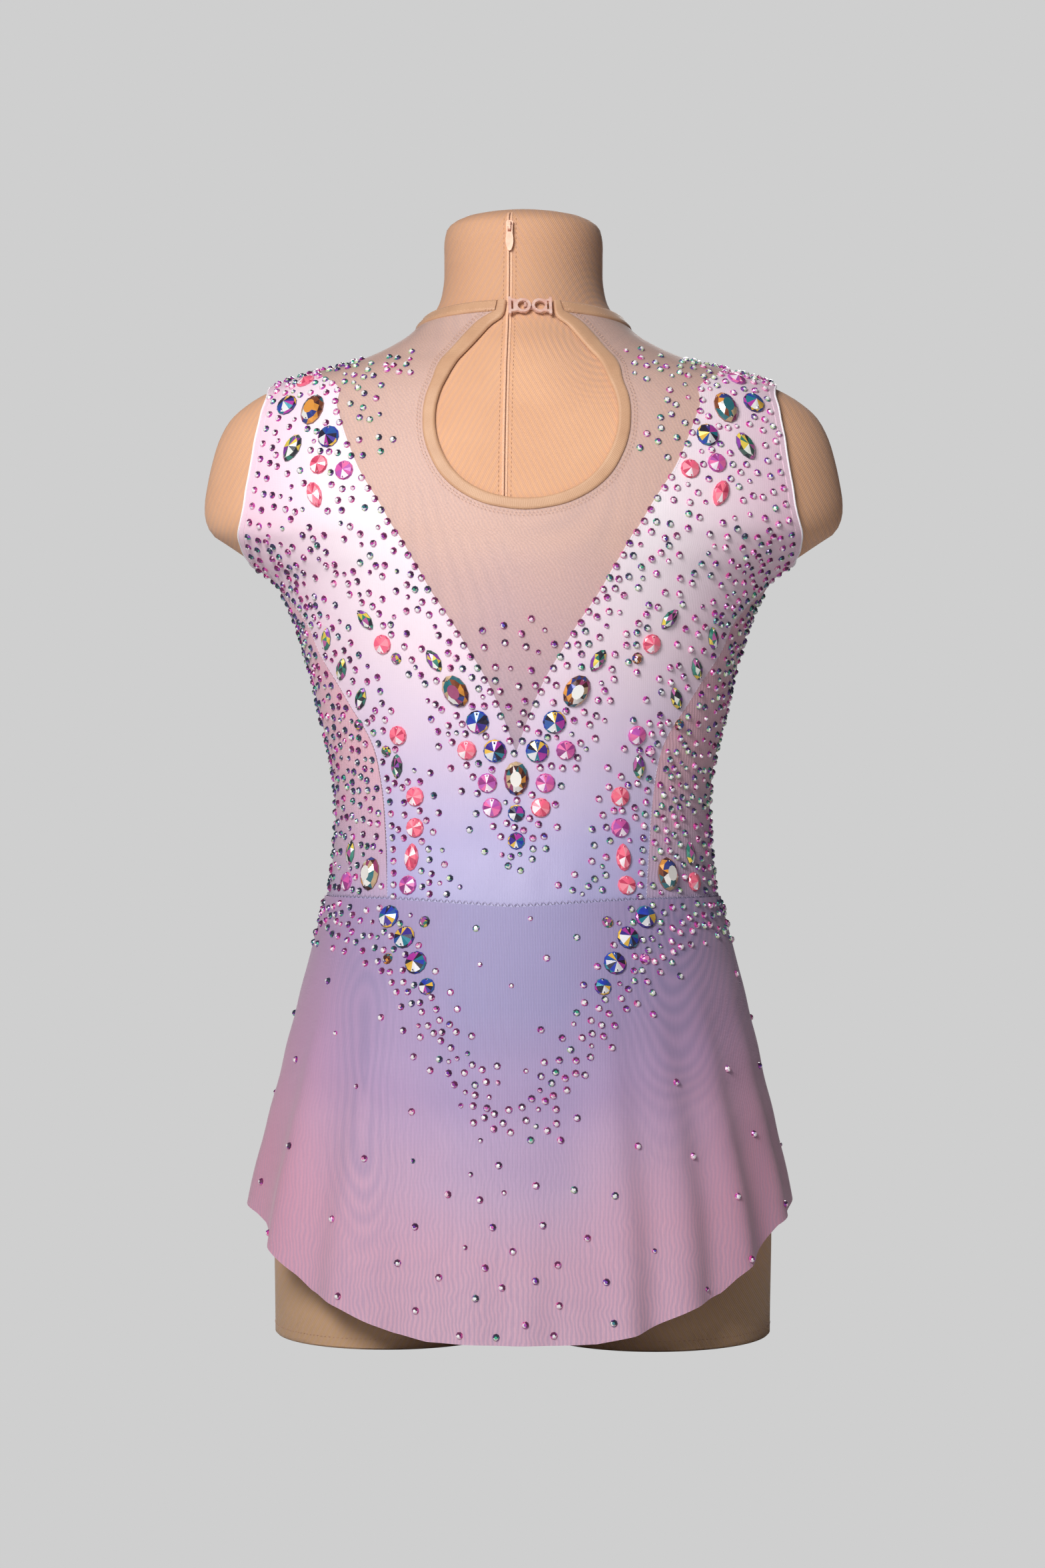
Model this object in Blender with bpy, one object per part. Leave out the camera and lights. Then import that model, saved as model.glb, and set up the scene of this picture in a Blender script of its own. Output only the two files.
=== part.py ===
"""Rhythmic gymnastics leotard on a limbless dress form, seen from its back.

Sizes are in millimetres in the tables and in metres in the meshes. The garment's back faces -Y, +X is
to the right in that view, +Z is up and the cut faces of the thigh stumps lie at z = 0.
"""

import math

import bpy
import numpy as np
from mathutils import Vector, geometry

for old in list(bpy.data.objects):
    bpy.data.objects.remove(old, do_unlink=True)

MM = 0.001
SEAM_INSET = 0.21          # each edge steps back from its seam line, so two pieces stand 0.42 mm apart
CLOTH_IN = 1.2             # inside of the cloth above the form
CLOTH_OUT = 2.4            # outside of the cloth above the form
TRIM_IN = 1.1
TRIM_OUT = 3.2             # bindings are folded double, so they stand higher
SKIRT_WALL = 1.2
CENTRE_X = 0.6             # the V and the skirt
KEYHOLE_X = 6.5            # the keyhole and its clasp are drawn a little to the right by the closed neck
ZIP_X = -5.8               # the form cover's zip

TORSO = (
    # z, half width, back y, front y, side y, roundness
    (70.0, 153.0, -92.0, 86.0, -3.0, 1.0),
    (88.0, 152.0, -97.0, 88.0, -3.0, 1.0),
    (105.0, 150.0, -102.0, 90.0, -3.0, 1.0),
    (121.0, 147.5, -106.5, 92.0, -3.0, 1.0),
    (138.0, 144.5, -110.0, 94.0, -3.0, 1.0),
    (154.0, 141.5, -112.5, 95.0, -3.0, 1.0),
    (170.0, 138.5, -113.0, 95.5, -3.0, 1.0),
    (187.0, 135.0, -111.5, 95.5, -3.0, 1.0),
    (203.0, 131.5, -108.0, 95.0, -3.0, 1.0),
    (220.0, 127.5, -103.0, 94.0, -2.0, 1.0),
    (236.0, 123.5, -97.0, 93.0, -2.0, 1.0),
    (252.0, 120.0, -91.0, 91.5, -1.0, 1.0),
    (269.0, 117.3, -86.0, 90.0, 0.0, 1.0),
    (285.0, 115.2, -82.5, 89.0, 0.0, 1.0),
    (302.0, 113.8, -80.0, 88.5, 0.0, 1.0),
    (318.0, 113.1, -79.5, 88.5, 0.0, 1.0),
    (334.0, 113.7, -80.0, 89.5, 0.0, 1.0),
    (351.0, 116.0, -82.0, 92.0, 0.0, 1.0),
    (367.0, 119.8, -84.5, 95.0, 0.0, 1.0),
    (384.0, 124.0, -87.0, 99.0, 0.0, 1.0),
    (400.0, 127.3, -89.5, 104.0, 0.0, 1.0),
    (416.0, 132.0, -91.5, 108.0, 0.0, 1.0),
    (433.0, 137.0, -93.5, 111.0, -1.0, 1.02),
    (449.0, 143.8, -95.0, 111.0, -1.0, 1.05),
    (462.0, 152.0, -96.0, 108.5, -2.0, 1.10),
    (472.0, 165.6, -96.0, 106.0, -2.0, 1.14),
    (482.0, 180.2, -95.5, 104.0, -2.0, 1.17),
    (491.0, 192.6, -95.0, 102.0, -2.0, 1.18),
    (499.0, 196.0, -94.3, 100.0, -2.0, 1.18),
    (508.0, 196.5, -93.0, 98.0, -2.0, 1.18),
    (520.0, 194.8, -91.0, 94.5, -2.0, 1.18),
    (534.0, 191.8, -88.0, 90.0, -2.0, 1.18),
    (548.0, 187.6, -84.0, 85.0, -1.0, 1.18),
    (560.0, 181.2, -79.5, 80.5, 0.0, 1.17),
    (571.0, 168.8, -75.5, 76.5, 1.0, 1.15),
    (580.0, 152.0, -71.0, 72.0, 2.0, 1.12),
    (588.0, 126.0, -66.5, 68.5, 3.0, 1.08),
    (595.5, 99.5, -62.0, 65.0, 4.0, 1.05),
    (603.0, 82.5, -57.5, 61.5, 5.0, 1.02),
    (611.0, 69.5, -52.0, 58.5, 6.0, 1.0),
    (620.0, 60.5, -47.0, 57.0, 7.0, 1.0),
    (631.0, 52.5, -42.0, 57.0, 9.0, 1.0),
    (644.0, 49.4, -39.0, 58.5, 11.0, 1.0),
    (660.0, 49.0, -38.0, 60.0, 12.0, 1.0),
    (672.0, 48.8, -37.4, 60.0, 12.0, 1.0),
    (679.0, 47.0, -35.6, 58.2, 12.0, 1.0),
    (683.5, 41.5, -30.0, 52.5, 12.0, 1.0),
    (687.0, 30.0, -18.5, 41.0, 12.0, 1.0),
    (689.3, 15.0, -3.5, 26.5, 12.0, 1.0),
    (690.0, 0.001, 11.9, 12.1, 12.0, 1.0),
)


class Sections:
    """Rings that a table names by height, joined by a smooth curve along the side profile."""

    def __init__(self, rows):
        self.rows = np.array(rows)
        steps = np.hypot(np.diff(self.rows[:, 0]), np.diff(self.rows[:, 1]))
        self.v = np.concatenate([[0.0], np.cumsum(steps)])
        self.slope = np.gradient(self.rows, self.v, axis=0)

    def at(self, v):
        v = np.clip(np.asarray(v, float), self.v[0], self.v[-1])
        i = np.clip(np.searchsorted(self.v, v, side="right") - 1, 0, len(self.v) - 2)
        h = self.v[i + 1] - self.v[i]
        t = ((v - self.v[i]) / h)[..., None]
        h = h[..., None]
        a, b = self.rows[i], self.rows[i + 1]
        da, db = self.slope[i] * h, self.slope[i + 1] * h
        return ((2 * t**3 - 3 * t**2 + 1) * a + (t**3 - 2 * t**2 + t) * da
                + (3 * t**2 - 2 * t**3) * b + (t**3 - t**2) * db)

    def v_at(self, z):
        lo = np.full(np.shape(z), self.v[0])
        hi = np.full(np.shape(z), self.v[-1])
        for _ in range(40):
            mid = (lo + hi) / 2
            low = self.at(mid)[..., 0] < z
            lo = np.where(low, mid, lo)
            hi = np.where(low, hi, mid)
        return (lo + hi) / 2

    def point(self, angle, v):
        z, a, back, front, side, p = np.moveaxis(self.at(v), -1, 0)
        c = np.cos(angle)
        reach = np.where(c > 0, side - back, front - side)
        y = side - np.sign(c) * reach * np.abs(c) ** p
        return np.stack([a * np.sin(angle), y, z], -1)

    def normal(self, angle, v):
        e = 0.004
        g = 0.6
        du = self.point(angle + e, v) - self.point(angle - e, v)
        lo = np.maximum(v - g, self.v[0])
        hi = np.minimum(v + g, self.v[-1])
        dv = self.point(angle, hi) - self.point(angle, lo)
        n = np.cross(du, dv)
        return n / np.linalg.norm(n, axis=-1, keepdims=True)


SKIRT = (
    # z, half width, back y, front y, side y, roundness
    (2.0, 171.1, -130.0, 112.4, 0.0, 1.0),
    (22.0, 170.1, -129.4, 111.8, 0.0, 1.0),
    (40.0, 169.0, -128.8, 111.0, 0.0, 1.0),
    (60.0, 167.5, -127.8, 110.0, 0.0, 1.0),
    (79.0, 165.1, -126.4, 109.0, 0.0, 1.0),
    (105.0, 160.1, -124.4, 107.0, 0.0, 1.0),
    (121.0, 156.3, -123.0, 105.6, 0.0, 1.0),
    (138.0, 152.3, -121.6, 104.2, 0.0, 1.0),
    (154.0, 148.6, -120.2, 103.0, 0.0, 1.0),
    (170.0, 144.8, -118.8, 102.0, 0.0, 1.0),
    (187.0, 141.0, -116.4, 101.0, 0.0, 1.0),
    (203.0, 137.2, -112.6, 100.0, 0.0, 1.0),
    (220.0, 132.8, -107.4, 98.8, 0.0, 1.0),
    (236.0, 128.8, -101.4, 97.6, 0.0, 1.0),
    (252.0, 124.4, -95.4, 96.0, 0.0, 1.0),
    (262.0, 122.0, -92.2, 95.0, 0.0, 1.0),
    (270.0, 120.6, -89.6, 94.2, 0.0, 1.0),
    (278.0, 119.6, -87.4, 93.8, 0.0, 1.0),
)

FLUTES = (
    # angle from the centre back, width to its left, width to its right, height at the hem
    (-78.0, 7.0, 6.0, 6.0),
    (-57.0, 4.0, 8.0, 10.0),
    (-36.0, 5.0, 8.0, 8.0),
    (-20.0, 6.0, 6.0, -3.0),
    (23.0, 7.0, 4.0, 7.5),
    (37.0, 7.0, 4.5, 9.5),
    (52.0, 7.0, 4.0, 10.0),
    (70.0, 6.0, 4.5, 8.0),
    (112.0, 6.0, 6.0, 6.0),
    (136.0, 6.0, 6.0, 6.5),
    (160.0, 6.0, 6.0, 6.0),
    (184.0, 6.0, 6.0, 5.5),
    (208.0, 6.0, 6.0, 6.5),
    (232.0, 6.0, 6.0, 6.0),
    (254.0, 6.0, 6.0, 6.0),
)
FLUTE_TOP = 232.0          # height where the first flute starts to show

HEM = (
    # angle from the centre back, height of the skirt's hem
    (0.0, 9.5), (10.0, 9.8), (17.0, 10.6), (24.5, 15.2), (29.5, 20.6), (36.0, 28.4), (45.0, 36.4), (49.0, 44.6),
    (54.0, 52.0), (58.0, 58.0), (62.0, 64.5), (66.0, 71.0), (72.0, 75.6), (80.0, 79.2), (90.0, 83.0),
    (110.0, 93.0), (135.0, 102.0), (180.0, 108.0),
)

V_EDGE = (
    # x from the centre line, z, seen from the back
    (113.0, 578.0), (108.0, 561.0), (94.0, 524.5), (74.0, 491.0), (54.4, 459.0), (32.3, 424.0),
    (13.8, 391.5), (0.0, 355.0),
)
V_SHOULDER = 591.6         # height on the shoulder ridge where the V edge crosses it
STRAP_SHOULDER = 580.3     # height on the shoulder ridge where the armhole crosses it
ARMHOLE = (
    # x, z, seen from the back
    (154.2, 573.0), (156.5, 560.0), (160.0, 540.0), (163.5, 518.0), (167.0, 498.0), (170.0, 484.0),
    (166.5, 474.6),
)
ARMHOLE_FRONT = (
    # the same edge on the front, cut a little deeper
    (153.6, 573.0), (153.6, 560.0), (153.5, 540.0), (155.0, 518.0), (160.0, 498.0), (167.0, 484.0),
    (166.5, 474.6),
)
UNDERARM = 471.4           # lowest point of the armhole
PRINCESS = (
    # x from the centre line, z: the seam between the back and the side panel
    (156.0, 464.0), (140.0, 449.0), (128.0, 434.0), (119.5, 415.0), (101.5, 386.0), (87.0, 362.0),
    (80.6, 334.0), (78.4, 310.0), (77.4, 292.0),
)
WAIST = ((0.0, 263.5), (26.0, 266.6), (40.0, 267.6), (90.0, 268.0), (140.0, 266.6), (180.0, 265.6))
LEG_BACK = ((90.0, 165.0), (70.0, 141.0), (50.0, 119.0), (30.0, 97.0), (15.0, 81.0))
LEG_FRONT = ((90.0, 165.0), (110.0, 151.0), (130.0, 130.0), (150.0, 105.0), (165.0, 84.0))
FRONT_V = ((158.0, 118.0, 572.0), (150.0, 100.0, 545.0), (142.0, 70.0, 515.0), (150.0, 35.0, 494.0))

KEYHOLE = (
    # half width at the outer edge of its binding, z there, half width inside, z there
    (22.3, 620.0, 15.6, 617.6), (34.3, 611.0, 24.8, 609.6), (47.0, 595.7, 37.0, 595.0),
    (56.0, 580.0, 46.2, 581.6), (60.4, 567.0, 51.8, 569.0), (61.8, 555.5, 54.1, 557.4),
    (60.9, 543.0, 53.5, 546.0), (57.3, 531.5, 50.2, 535.0), (50.2, 519.0, 43.6, 523.6),
    (38.9, 508.8, 34.2, 514.6), (25.0, 501.8, 22.0, 508.4), (10.0, 498.5, 9.4, 505.3),
    (0.0, 497.7, 0.0, 504.8),
)
BINDING_END = 20.2         # half width where the neck binding stops and the keyhole binding goes on
CLASP_END = 13.6           # half width of the free ends of the keyhole binding
NECK_BACK, NECK_FRONT, NECK_BAND = 620.8, 609.0, 7.2

STONES = (
    # kind, x from the centre line, z, turn from upright
    ("oval", 0.0, 339.6, 0.0),
    ("small", 0.0, 318.6, 0.0),
    ("small", 0.0, 302.0, 0.0),
    ("round", 22.5, 373.1, 0.0),
    ("round", 12.4, 356.0, 0.0),
    ("oval", 35.5, 391.4, -30.0),
    ("navette", 48.1, 409.4, -32.0),
    ("pink", 29.0, 356.4, 0.0),
    ("pink", 17.0, 336.8, 0.0),
    ("pink", 14.2, 322.0, 0.0),
    ("navette", 89.8, 434.4, -40.0),
    ("pink", 79.3, 419.6, 0.0),
    ("navette", 115.0, 424.0, 24.0),
    ("navette", 105.4, 405.6, 28.0),
    ("navette", 93.4, 387.6, 28.0),
    ("pink", 70.4, 365.4, 0.0),
    ("navette", 71.4, 346.8, 6.0),
    ("pink", 60.4, 328.6, 0.0),
    ("pink", 60.4, 309.8, 0.0),
    ("pinkdrop", 62.4, 292.0, 180.0),
    ("pink", 64.4, 275.2, 0.0),
    ("oval", 88.0, 281.6, 0.0),
    ("navette", 101.0, 294.0, 0.0),
    ("pink", 103.4, 276.6, 0.0),
    ("round", 140.0, 564.2, 0.0),
    ("oval", 123.4, 560.4, 8.0),
    ("round", 112.6, 543.4, 0.0),
    ("drop", 135.2, 537.4, 24.0),
    ("pink", 118.2, 526.8, 0.0),
    ("pink", 102.4, 522.8, 0.0),
    ("pinkdrop", 120.4, 508.6, -24.0),
    ("pink", 130.0, 579.0, 0.0),
)
SKIRT_STONES = (
    # kind, x from the centre line, z, turn from upright
    ("round", 76.0, 256.6, 0.0),
    ("round", 66.0, 244.6, 0.0),
    ("round", 58.4, 230.0, 0.0),
    ("small", 51.6, 216.4, 0.0),
)
SETS = {
    # width, height, rise over the cloth, points on its outline, pointed top, pointed foot
    "round": (14.0, 14.0, 4.6, 8, 0.0, 0.0),
    "pink": (11.8, 11.8, 3.4, 7, 0.0, 0.0),
    "small": (10.4, 10.4, 3.2, 7, 0.0, 0.0),
    "oval": (14.8, 20.4, 5.4, 8, 0.0, 0.0),
    "navette": (6.6, 14.6, 3.4, 8, 1.0, 1.0),
    "drop": (11.0, 18.0, 4.6, 8, 0.0, 1.0),
    "pinkdrop": (9.6, 16.6, 3.6, 8, 0.0, 1.0),
}


def rad(degrees):
    return degrees * math.pi / 180.0


class Panel:
    """Gathers one cloth piece: its outline, the points inside it and the stones raised on it."""

    def __init__(self, surface, squeeze=1.0):
        self.surface = surface
        self.squeeze = squeeze

    def flat(self, uv):
        return np.stack([uv[:, 0] * 110.0, uv[:, 1] * self.squeeze], -1)

    def frame(self, u, v):
        e = 0.002
        du = (self.surface(u + e, v)[0] - self.surface(u - e, v)[0]) / (2 * e)
        dv = (self.surface(u, v + 0.4)[0] - self.surface(u, v - 0.4)[0]) / 0.8
        return du, dv

    def build(self, name, outline, cell, stones=(), low=CLOTH_IN, high=CLOTH_OUT, rows=None, fan=10.0):
        outline = np.array(outline)
        rings = [self.ring(*stone) for stone in stones]
        lattice = self.lattice(outline, cell, rows, fan)
        spots = self.surface(lattice[:, 0], lattice[:, 1])[0]
        following = np.roll(outline, -1, 0)
        dense = np.concatenate([outline + (following - outline) * t for t in (0.0, 0.25, 0.5, 0.75)])
        edge = self.surface(dense[:, 0], dense[:, 1])[0]
        plain = inside(self.flat(outline), self.flat(lattice))
        plain &= clear(spots, edge, 0.5 * cell)
        decked = plain.copy()
        loops = []
        lift = [0.0] * len(outline)
        for (base, table, centre, reach), stone in zip(rings, stones):
            decked &= np.linalg.norm(spots - centre, axis=1) > reach
            decked &= clear(spots, self.surface(base[:, 0], base[:, 1])[0], 0.3 * cell)
            loops += [base, table]
            lift += [0.0] * len(base) + [SETS[stone[0]][2]] * len(table)
        inner, under, rim = self.mesh(name, outline, [], lattice[plain], low, [0.0] * len(outline))
        outer, over, edge_rim = self.mesh(name, outline, loops, lattice[decked], high, lift)
        count = len(inner)
        faces = [(c, b, a) for a, b, c in under]
        faces += [(a + count, b + count, c + count) for a, b, c in over]
        for i in range(len(rim)):
            k = (i + 1) % len(rim)
            faces.append((rim[i], rim[k], edge_rim[k] + count))
            faces.append((rim[i], edge_rim[k] + count, edge_rim[i] + count))
        return solid(name, np.concatenate([inner, outer]), faces)

    def mesh(self, name, outline, loops, lattice, height, lift):
        """One face of the cloth as points, triangles that face out and the outline's own points in order."""
        points = np.concatenate([outline] + loops + ([lattice] if len(lattice) else []))
        edges = []
        start = len(outline)
        for loop in loops:
            edges += [(start + i, start + (i + 1) % len(loop)) for i in range(len(loop))]
            start += len(loop)
        flat = self.flat(points)
        found = geometry.delaunay_2d_cdt([Vector(p) for p in flat], edges, [list(range(len(outline)))], 1, 1e-5)
        if len(found[0]) != len(points):
            print(name, "points merged or added:", len(points), len(found[0]))
        place = np.array([(p[0] / 110.0, p[1] / self.squeeze) for p in found[0]])
        rise = np.zeros(len(place))
        where = {}
        for i, sources in enumerate(found[3]):
            for source in sources:
                where[source] = i
                place[i] = points[source]
                rise[i] = max(rise[i], lift[source] if source < len(lift) else 0.0)
        spot, out = self.surface(place[:, 0], place[:, 1])
        rim = [where[i] for i in range(len(outline))]
        area = signed(flat[:len(outline)])
        turn = 1.0 if area > 0 else -1.0
        pull = np.zeros_like(spot)
        for i in range(len(rim)):
            a, b = rim[i], rim[(i + 1) % len(rim)]
            into = np.cross(out[a] + out[b], spot[b] - spot[a]) * turn
            into /= np.linalg.norm(into)
            pull[a] += into
            pull[b] += into
        for i in rim:
            size = np.linalg.norm(pull[i])
            pull[i] *= SEAM_INSET * min(2.0 / max(size, 0.5), 2.2) / max(size, 1e-6)
        tris = [tuple(f) for f in found[2] if len(f) == 3]
        rim = rim if turn > 0 else rim[::-1]
        return spot + pull + out * (height + rise)[:, None], tris, rim

    def lattice(self, outline, cell, rows, fan):
        """Points set in rows, at equal angles and staggered."""
        u0, v0 = outline.min(0)
        u1, v1 = outline.max(0)
        rows = rows if rows is not None else [v for v in TRUNK_ROWS if v0 < v < v1]
        step = rad(fan)
        found = []
        for k, v in enumerate(rows):
            first = math.floor(u0 / step) * step + (step / 2 if k % 2 else 0.0)
            found += [(u, v) for u in np.arange(first, u1, step)]
        return np.array(found) if found else np.zeros((0, 2))

    def ring(self, kind, u, v, turn):
        width, height, _, count, top, foot = SETS[kind]
        du, dv = self.frame(u, v)
        right = du / np.linalg.norm(du)
        up = dv - right * (dv @ right)
        up /= np.linalg.norm(up)
        metric = np.linalg.pinv(np.stack([du, dv], -1))
        loops = []
        for share in (1.0, 0.6):
            loop = []
            for i in range(count):
                a = 2 * math.pi * (i + (0.0 if count % 2 == 0 else 0.25)) / count + math.pi / 2
                x = math.cos(a) * width / 2
                y = math.sin(a) * height / 2
                point = top if y > 0 else foot
                x *= 1.0 - point * 0.32 * abs(math.sin(a)) ** 2
                x, y = x * share, y * share
                t = rad(turn)
                x, y = x * math.cos(t) - y * math.sin(t), x * math.sin(t) + y * math.cos(t)
                step = metric @ (right * x + up * y)
                loop.append((u + step[0], v + step[1]))
            loops.append(np.array(loop))
        centre = self.surface(np.array([u]), np.array([v]))[0][0]
        base = self.surface(loops[0][:, 0], loops[0][:, 1])[0]
        return loops[0], loops[1], centre, 0.5 * np.linalg.norm(base - centre, axis=1).max() + 3.0


def signed(polygon):
    following = np.roll(polygon, -1, 0)
    return 0.5 * float(np.sum(polygon[:, 0] * following[:, 1] - following[:, 0] * polygon[:, 1]))


def clear(points, guard, distance):
    gaps = np.linalg.norm(points[:, None, :] - guard[None, :, :], axis=2)
    return gaps.min(axis=1) > distance


def inside(polygon, points):
    x, y = points[:, 0], points[:, 1]
    found = np.zeros(len(points), bool)
    for (ax, ay), (bx, by) in zip(polygon, np.roll(polygon, -1, 0)):
        crosses = (ay > y) != (by > y)
        where = ax + (y - ay) * (bx - ax) / (by - ay if by != ay else 1e-12)
        found ^= crosses & (x < where)
    return found


LOOKS = {
    # node: base colour, roughness
    "form": ((0.76, 0.50, 0.33), 0.8),
    "zip_slider": ((0.72, 0.55, 0.48), 0.4),
    "zip_pull": ((0.86, 0.62, 0.52), 0.4),
    "back_yoke": ((0.70, 0.50, 0.44), 0.7),
    "front_yoke": ((0.70, 0.50, 0.44), 0.7),
    "back_bodice": ((0.80, 0.66, 0.80), 0.5),
    "front_bodice": ((0.80, 0.66, 0.80), 0.5),
    "side_panel_left": ((0.68, 0.46, 0.52), 0.6),
    "side_panel_right": ((0.68, 0.46, 0.52), 0.6),
    "brief_back": ((0.55, 0.50, 0.72), 0.5),
    "brief_front": ((0.55, 0.50, 0.72), 0.5),
    "gusset": ((0.55, 0.50, 0.72), 0.5),
    "skirt_back": ((0.62, 0.40, 0.55), 0.7),
    "skirt_front": ((0.62, 0.40, 0.55), 0.7),
    "neck_binding": ((0.76, 0.54, 0.44), 0.6),
    "keyhole_binding": ((0.76, 0.54, 0.44), 0.6),
    "clasp_eye": ((0.85, 0.50, 0.48), 0.15),
    "clasp_hook": ((0.85, 0.50, 0.48), 0.15),
}
PARTS = bpy.data.collections.new("leotard_on_form")
bpy.context.scene.collection.children.link(PARTS)


def solid(name, points, faces):
    """One closed body, in millimetres, with its own material."""
    mesh = bpy.data.meshes.new(name)
    mesh.from_pydata([tuple(float(c) * MM for c in p) for p in points], [], [tuple(int(i) for i in f) for f in faces])
    mesh.validate()
    body = bpy.data.objects.new(name, mesh)
    PARTS.objects.link(body)
    colour, roughness = LOOKS[name]
    material = bpy.data.materials.new(name)
    material.use_nodes = True
    shader = material.node_tree.nodes["Principled BSDF"]
    shader.inputs["Base Color"].default_value = (*colour, 1.0)
    shader.inputs["Roughness"].default_value = roughness
    mesh.materials.append(material)
    print(name, "triangles", sum(len(p.vertices) - 2 for p in mesh.polygons))
    return body


torso = Sections(TORSO)
skirt = Sections(SKIRT)
TRUNK_ROWS = [float(torso.v_at(z)) for z in
              (90.0, 112.0, 134.0, 156.0, 178.0, 200.0, 222.0, 244.0, 264.0, 284.0, 304.0, 324.0, 344.0, 364.0,
               384.0, 404.0, 424.0, 442.0, 457.0, 468.0, 480.0, 491.0, 499.0, 509.0, 526.0, 546.0, 560.0, 570.0,
               578.0, 585.0, 591.0, 597.0, 603.0, 610.0)]


def on_torso(u, v):
    u, v = np.asarray(u, float), np.asarray(v, float)
    return torso.point(u, v), torso.normal(u, v)


def flute(u, z):
    """How far the skirt stands out of its plain shape: ridges set by hand that grow toward the hem."""
    degrees = (np.degrees(u) + 100.0) % 360.0 - 100.0
    depth = np.clip((FLUTE_TOP - z) / 200.0, 0.0, 1.3) ** 1.3
    out = np.zeros_like(degrees)
    for angle, left, right, height in FLUTES:
        off = degrees - angle
        out += height * np.exp(-(off / np.where(off < 0, left, right)) ** 2)
    ripple = 0.9 * np.sin(np.radians(degrees) * 34.0) * np.clip((120.0 - z) / 110.0, 0.0, 1.0) ** 2
    return out * depth + ripple


def on_skirt(u, v):
    u, v = np.asarray(u, float), np.asarray(v, float)

    def place(u, v):
        p, n = skirt.point(u, v), skirt.normal(u, v)
        return p + n * flute(u, p[..., 2])[..., None]

    e, g = 0.004, 0.6
    lo, hi = np.maximum(v - g, 0.0), np.minimum(v + g, skirt.v[-1])
    n = np.cross(place(u + e, v) - place(u - e, v), place(u, hi) - place(u, lo))
    return place(u, v), n / np.linalg.norm(n, axis=-1, keepdims=True)


def back(x, z, sections=None):
    """A point named by its x and z as seen from the back, as (angle, v)."""
    sections = sections or torso
    v = float(sections.v_at(z))
    width = float(sections.at(v)[1])
    return math.asin(max(-1.0, min(1.0, x / width))), v


def turned(point):
    """The same place on the front."""
    return math.pi - point[0], point[1]


def along(points, step, surface):
    """A smooth line through points, cut into equal steps in space."""
    points = np.array(points, float)
    if len(points) == 2:
        fine = points[0] + np.linspace(0, 1, 80)[:, None] * (points[1] - points[0])
    else:
        ends = np.vstack([2 * points[0] - points[1], points, 2 * points[-1] - points[-2]])
        fine = []
        for i in range(1, len(ends) - 2):
            a, b, c, d = ends[i - 1:i + 3]
            for t in np.linspace(0, 1, 24, endpoint=False):
                fine.append(0.5 * (2 * b + (c - a) * t + (2 * a - 5 * b + 4 * c - d) * t * t
                                   + (3 * b - a - 3 * c + d) * t**3))
        fine = np.array(fine + [points[-1]])
    spots = surface(fine[:, 0], fine[:, 1])[0]
    run = np.concatenate([[0.0], np.cumsum(np.linalg.norm(np.diff(spots, axis=0), axis=1))])
    count = max(2, int(round(run[-1] / step)) + 1)
    s = np.linspace(0, run[-1], count)
    return [(float(a), float(b)) for a, b in zip(np.interp(s, run, fine[:, 0]), np.interp(s, run, fine[:, 1]))]


def join(*lines):
    """One closed outline from lines that meet end to end."""
    whole = []
    for line in lines:
        for p in line:
            if not whole or math.hypot((p[0] - whole[-1][0]) * 110.0, p[1] - whole[-1][1]) > 0.05:
                whole.append(p)
    if math.hypot((whole[0][0] - whole[-1][0]) * 110.0, whole[0][1] - whole[-1][1]) < 0.05:
        whole.pop()
    return whole


def join_open(first, second):
    return first + [p for p in second if math.hypot((p[0] - first[-1][0]) * 110.0, p[1] - first[-1][1]) > 0.05]


def mirrored(line, middle=0.0):
    return [(2 * middle - u, v) for u, v in line]


def neck(u, band=0.0):
    z = (NECK_BACK + NECK_FRONT) / 2 + (NECK_BACK - NECK_FRONT) / 2 * math.cos(u) + band
    return u, float(torso.v_at(z))


def table(rows, u):
    """Height from a table by angle, alike on both sides."""
    degrees = abs((math.degrees(u) + 180.0) % 360.0 - 180.0)
    return float(np.interp(degrees, [r[0] for r in rows], [r[1] for r in rows]))


def level(rows, start, end, count, sections):
    return [(u, float(sections.v_at(table(rows, u)))) for u in np.linspace(start, end, count)]


STEP = 13.0
RIDGE = math.pi / 2
v_top = (RIDGE, float(torso.v_at(V_SHOULDER)))
strap = (RIDGE, float(torso.v_at(STRAP_SHOULDER)))
underarm = (RIDGE, float(torso.v_at(UNDERARM)))
arm_foot = back(*ARMHOLE[-1])
waist_u = back(76.6, table(WAIST, rad(41.0)))[0]


def shifted(rows, side):
    return [back(CENTRE_X + side * x, z) for x, z in rows]


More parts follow.
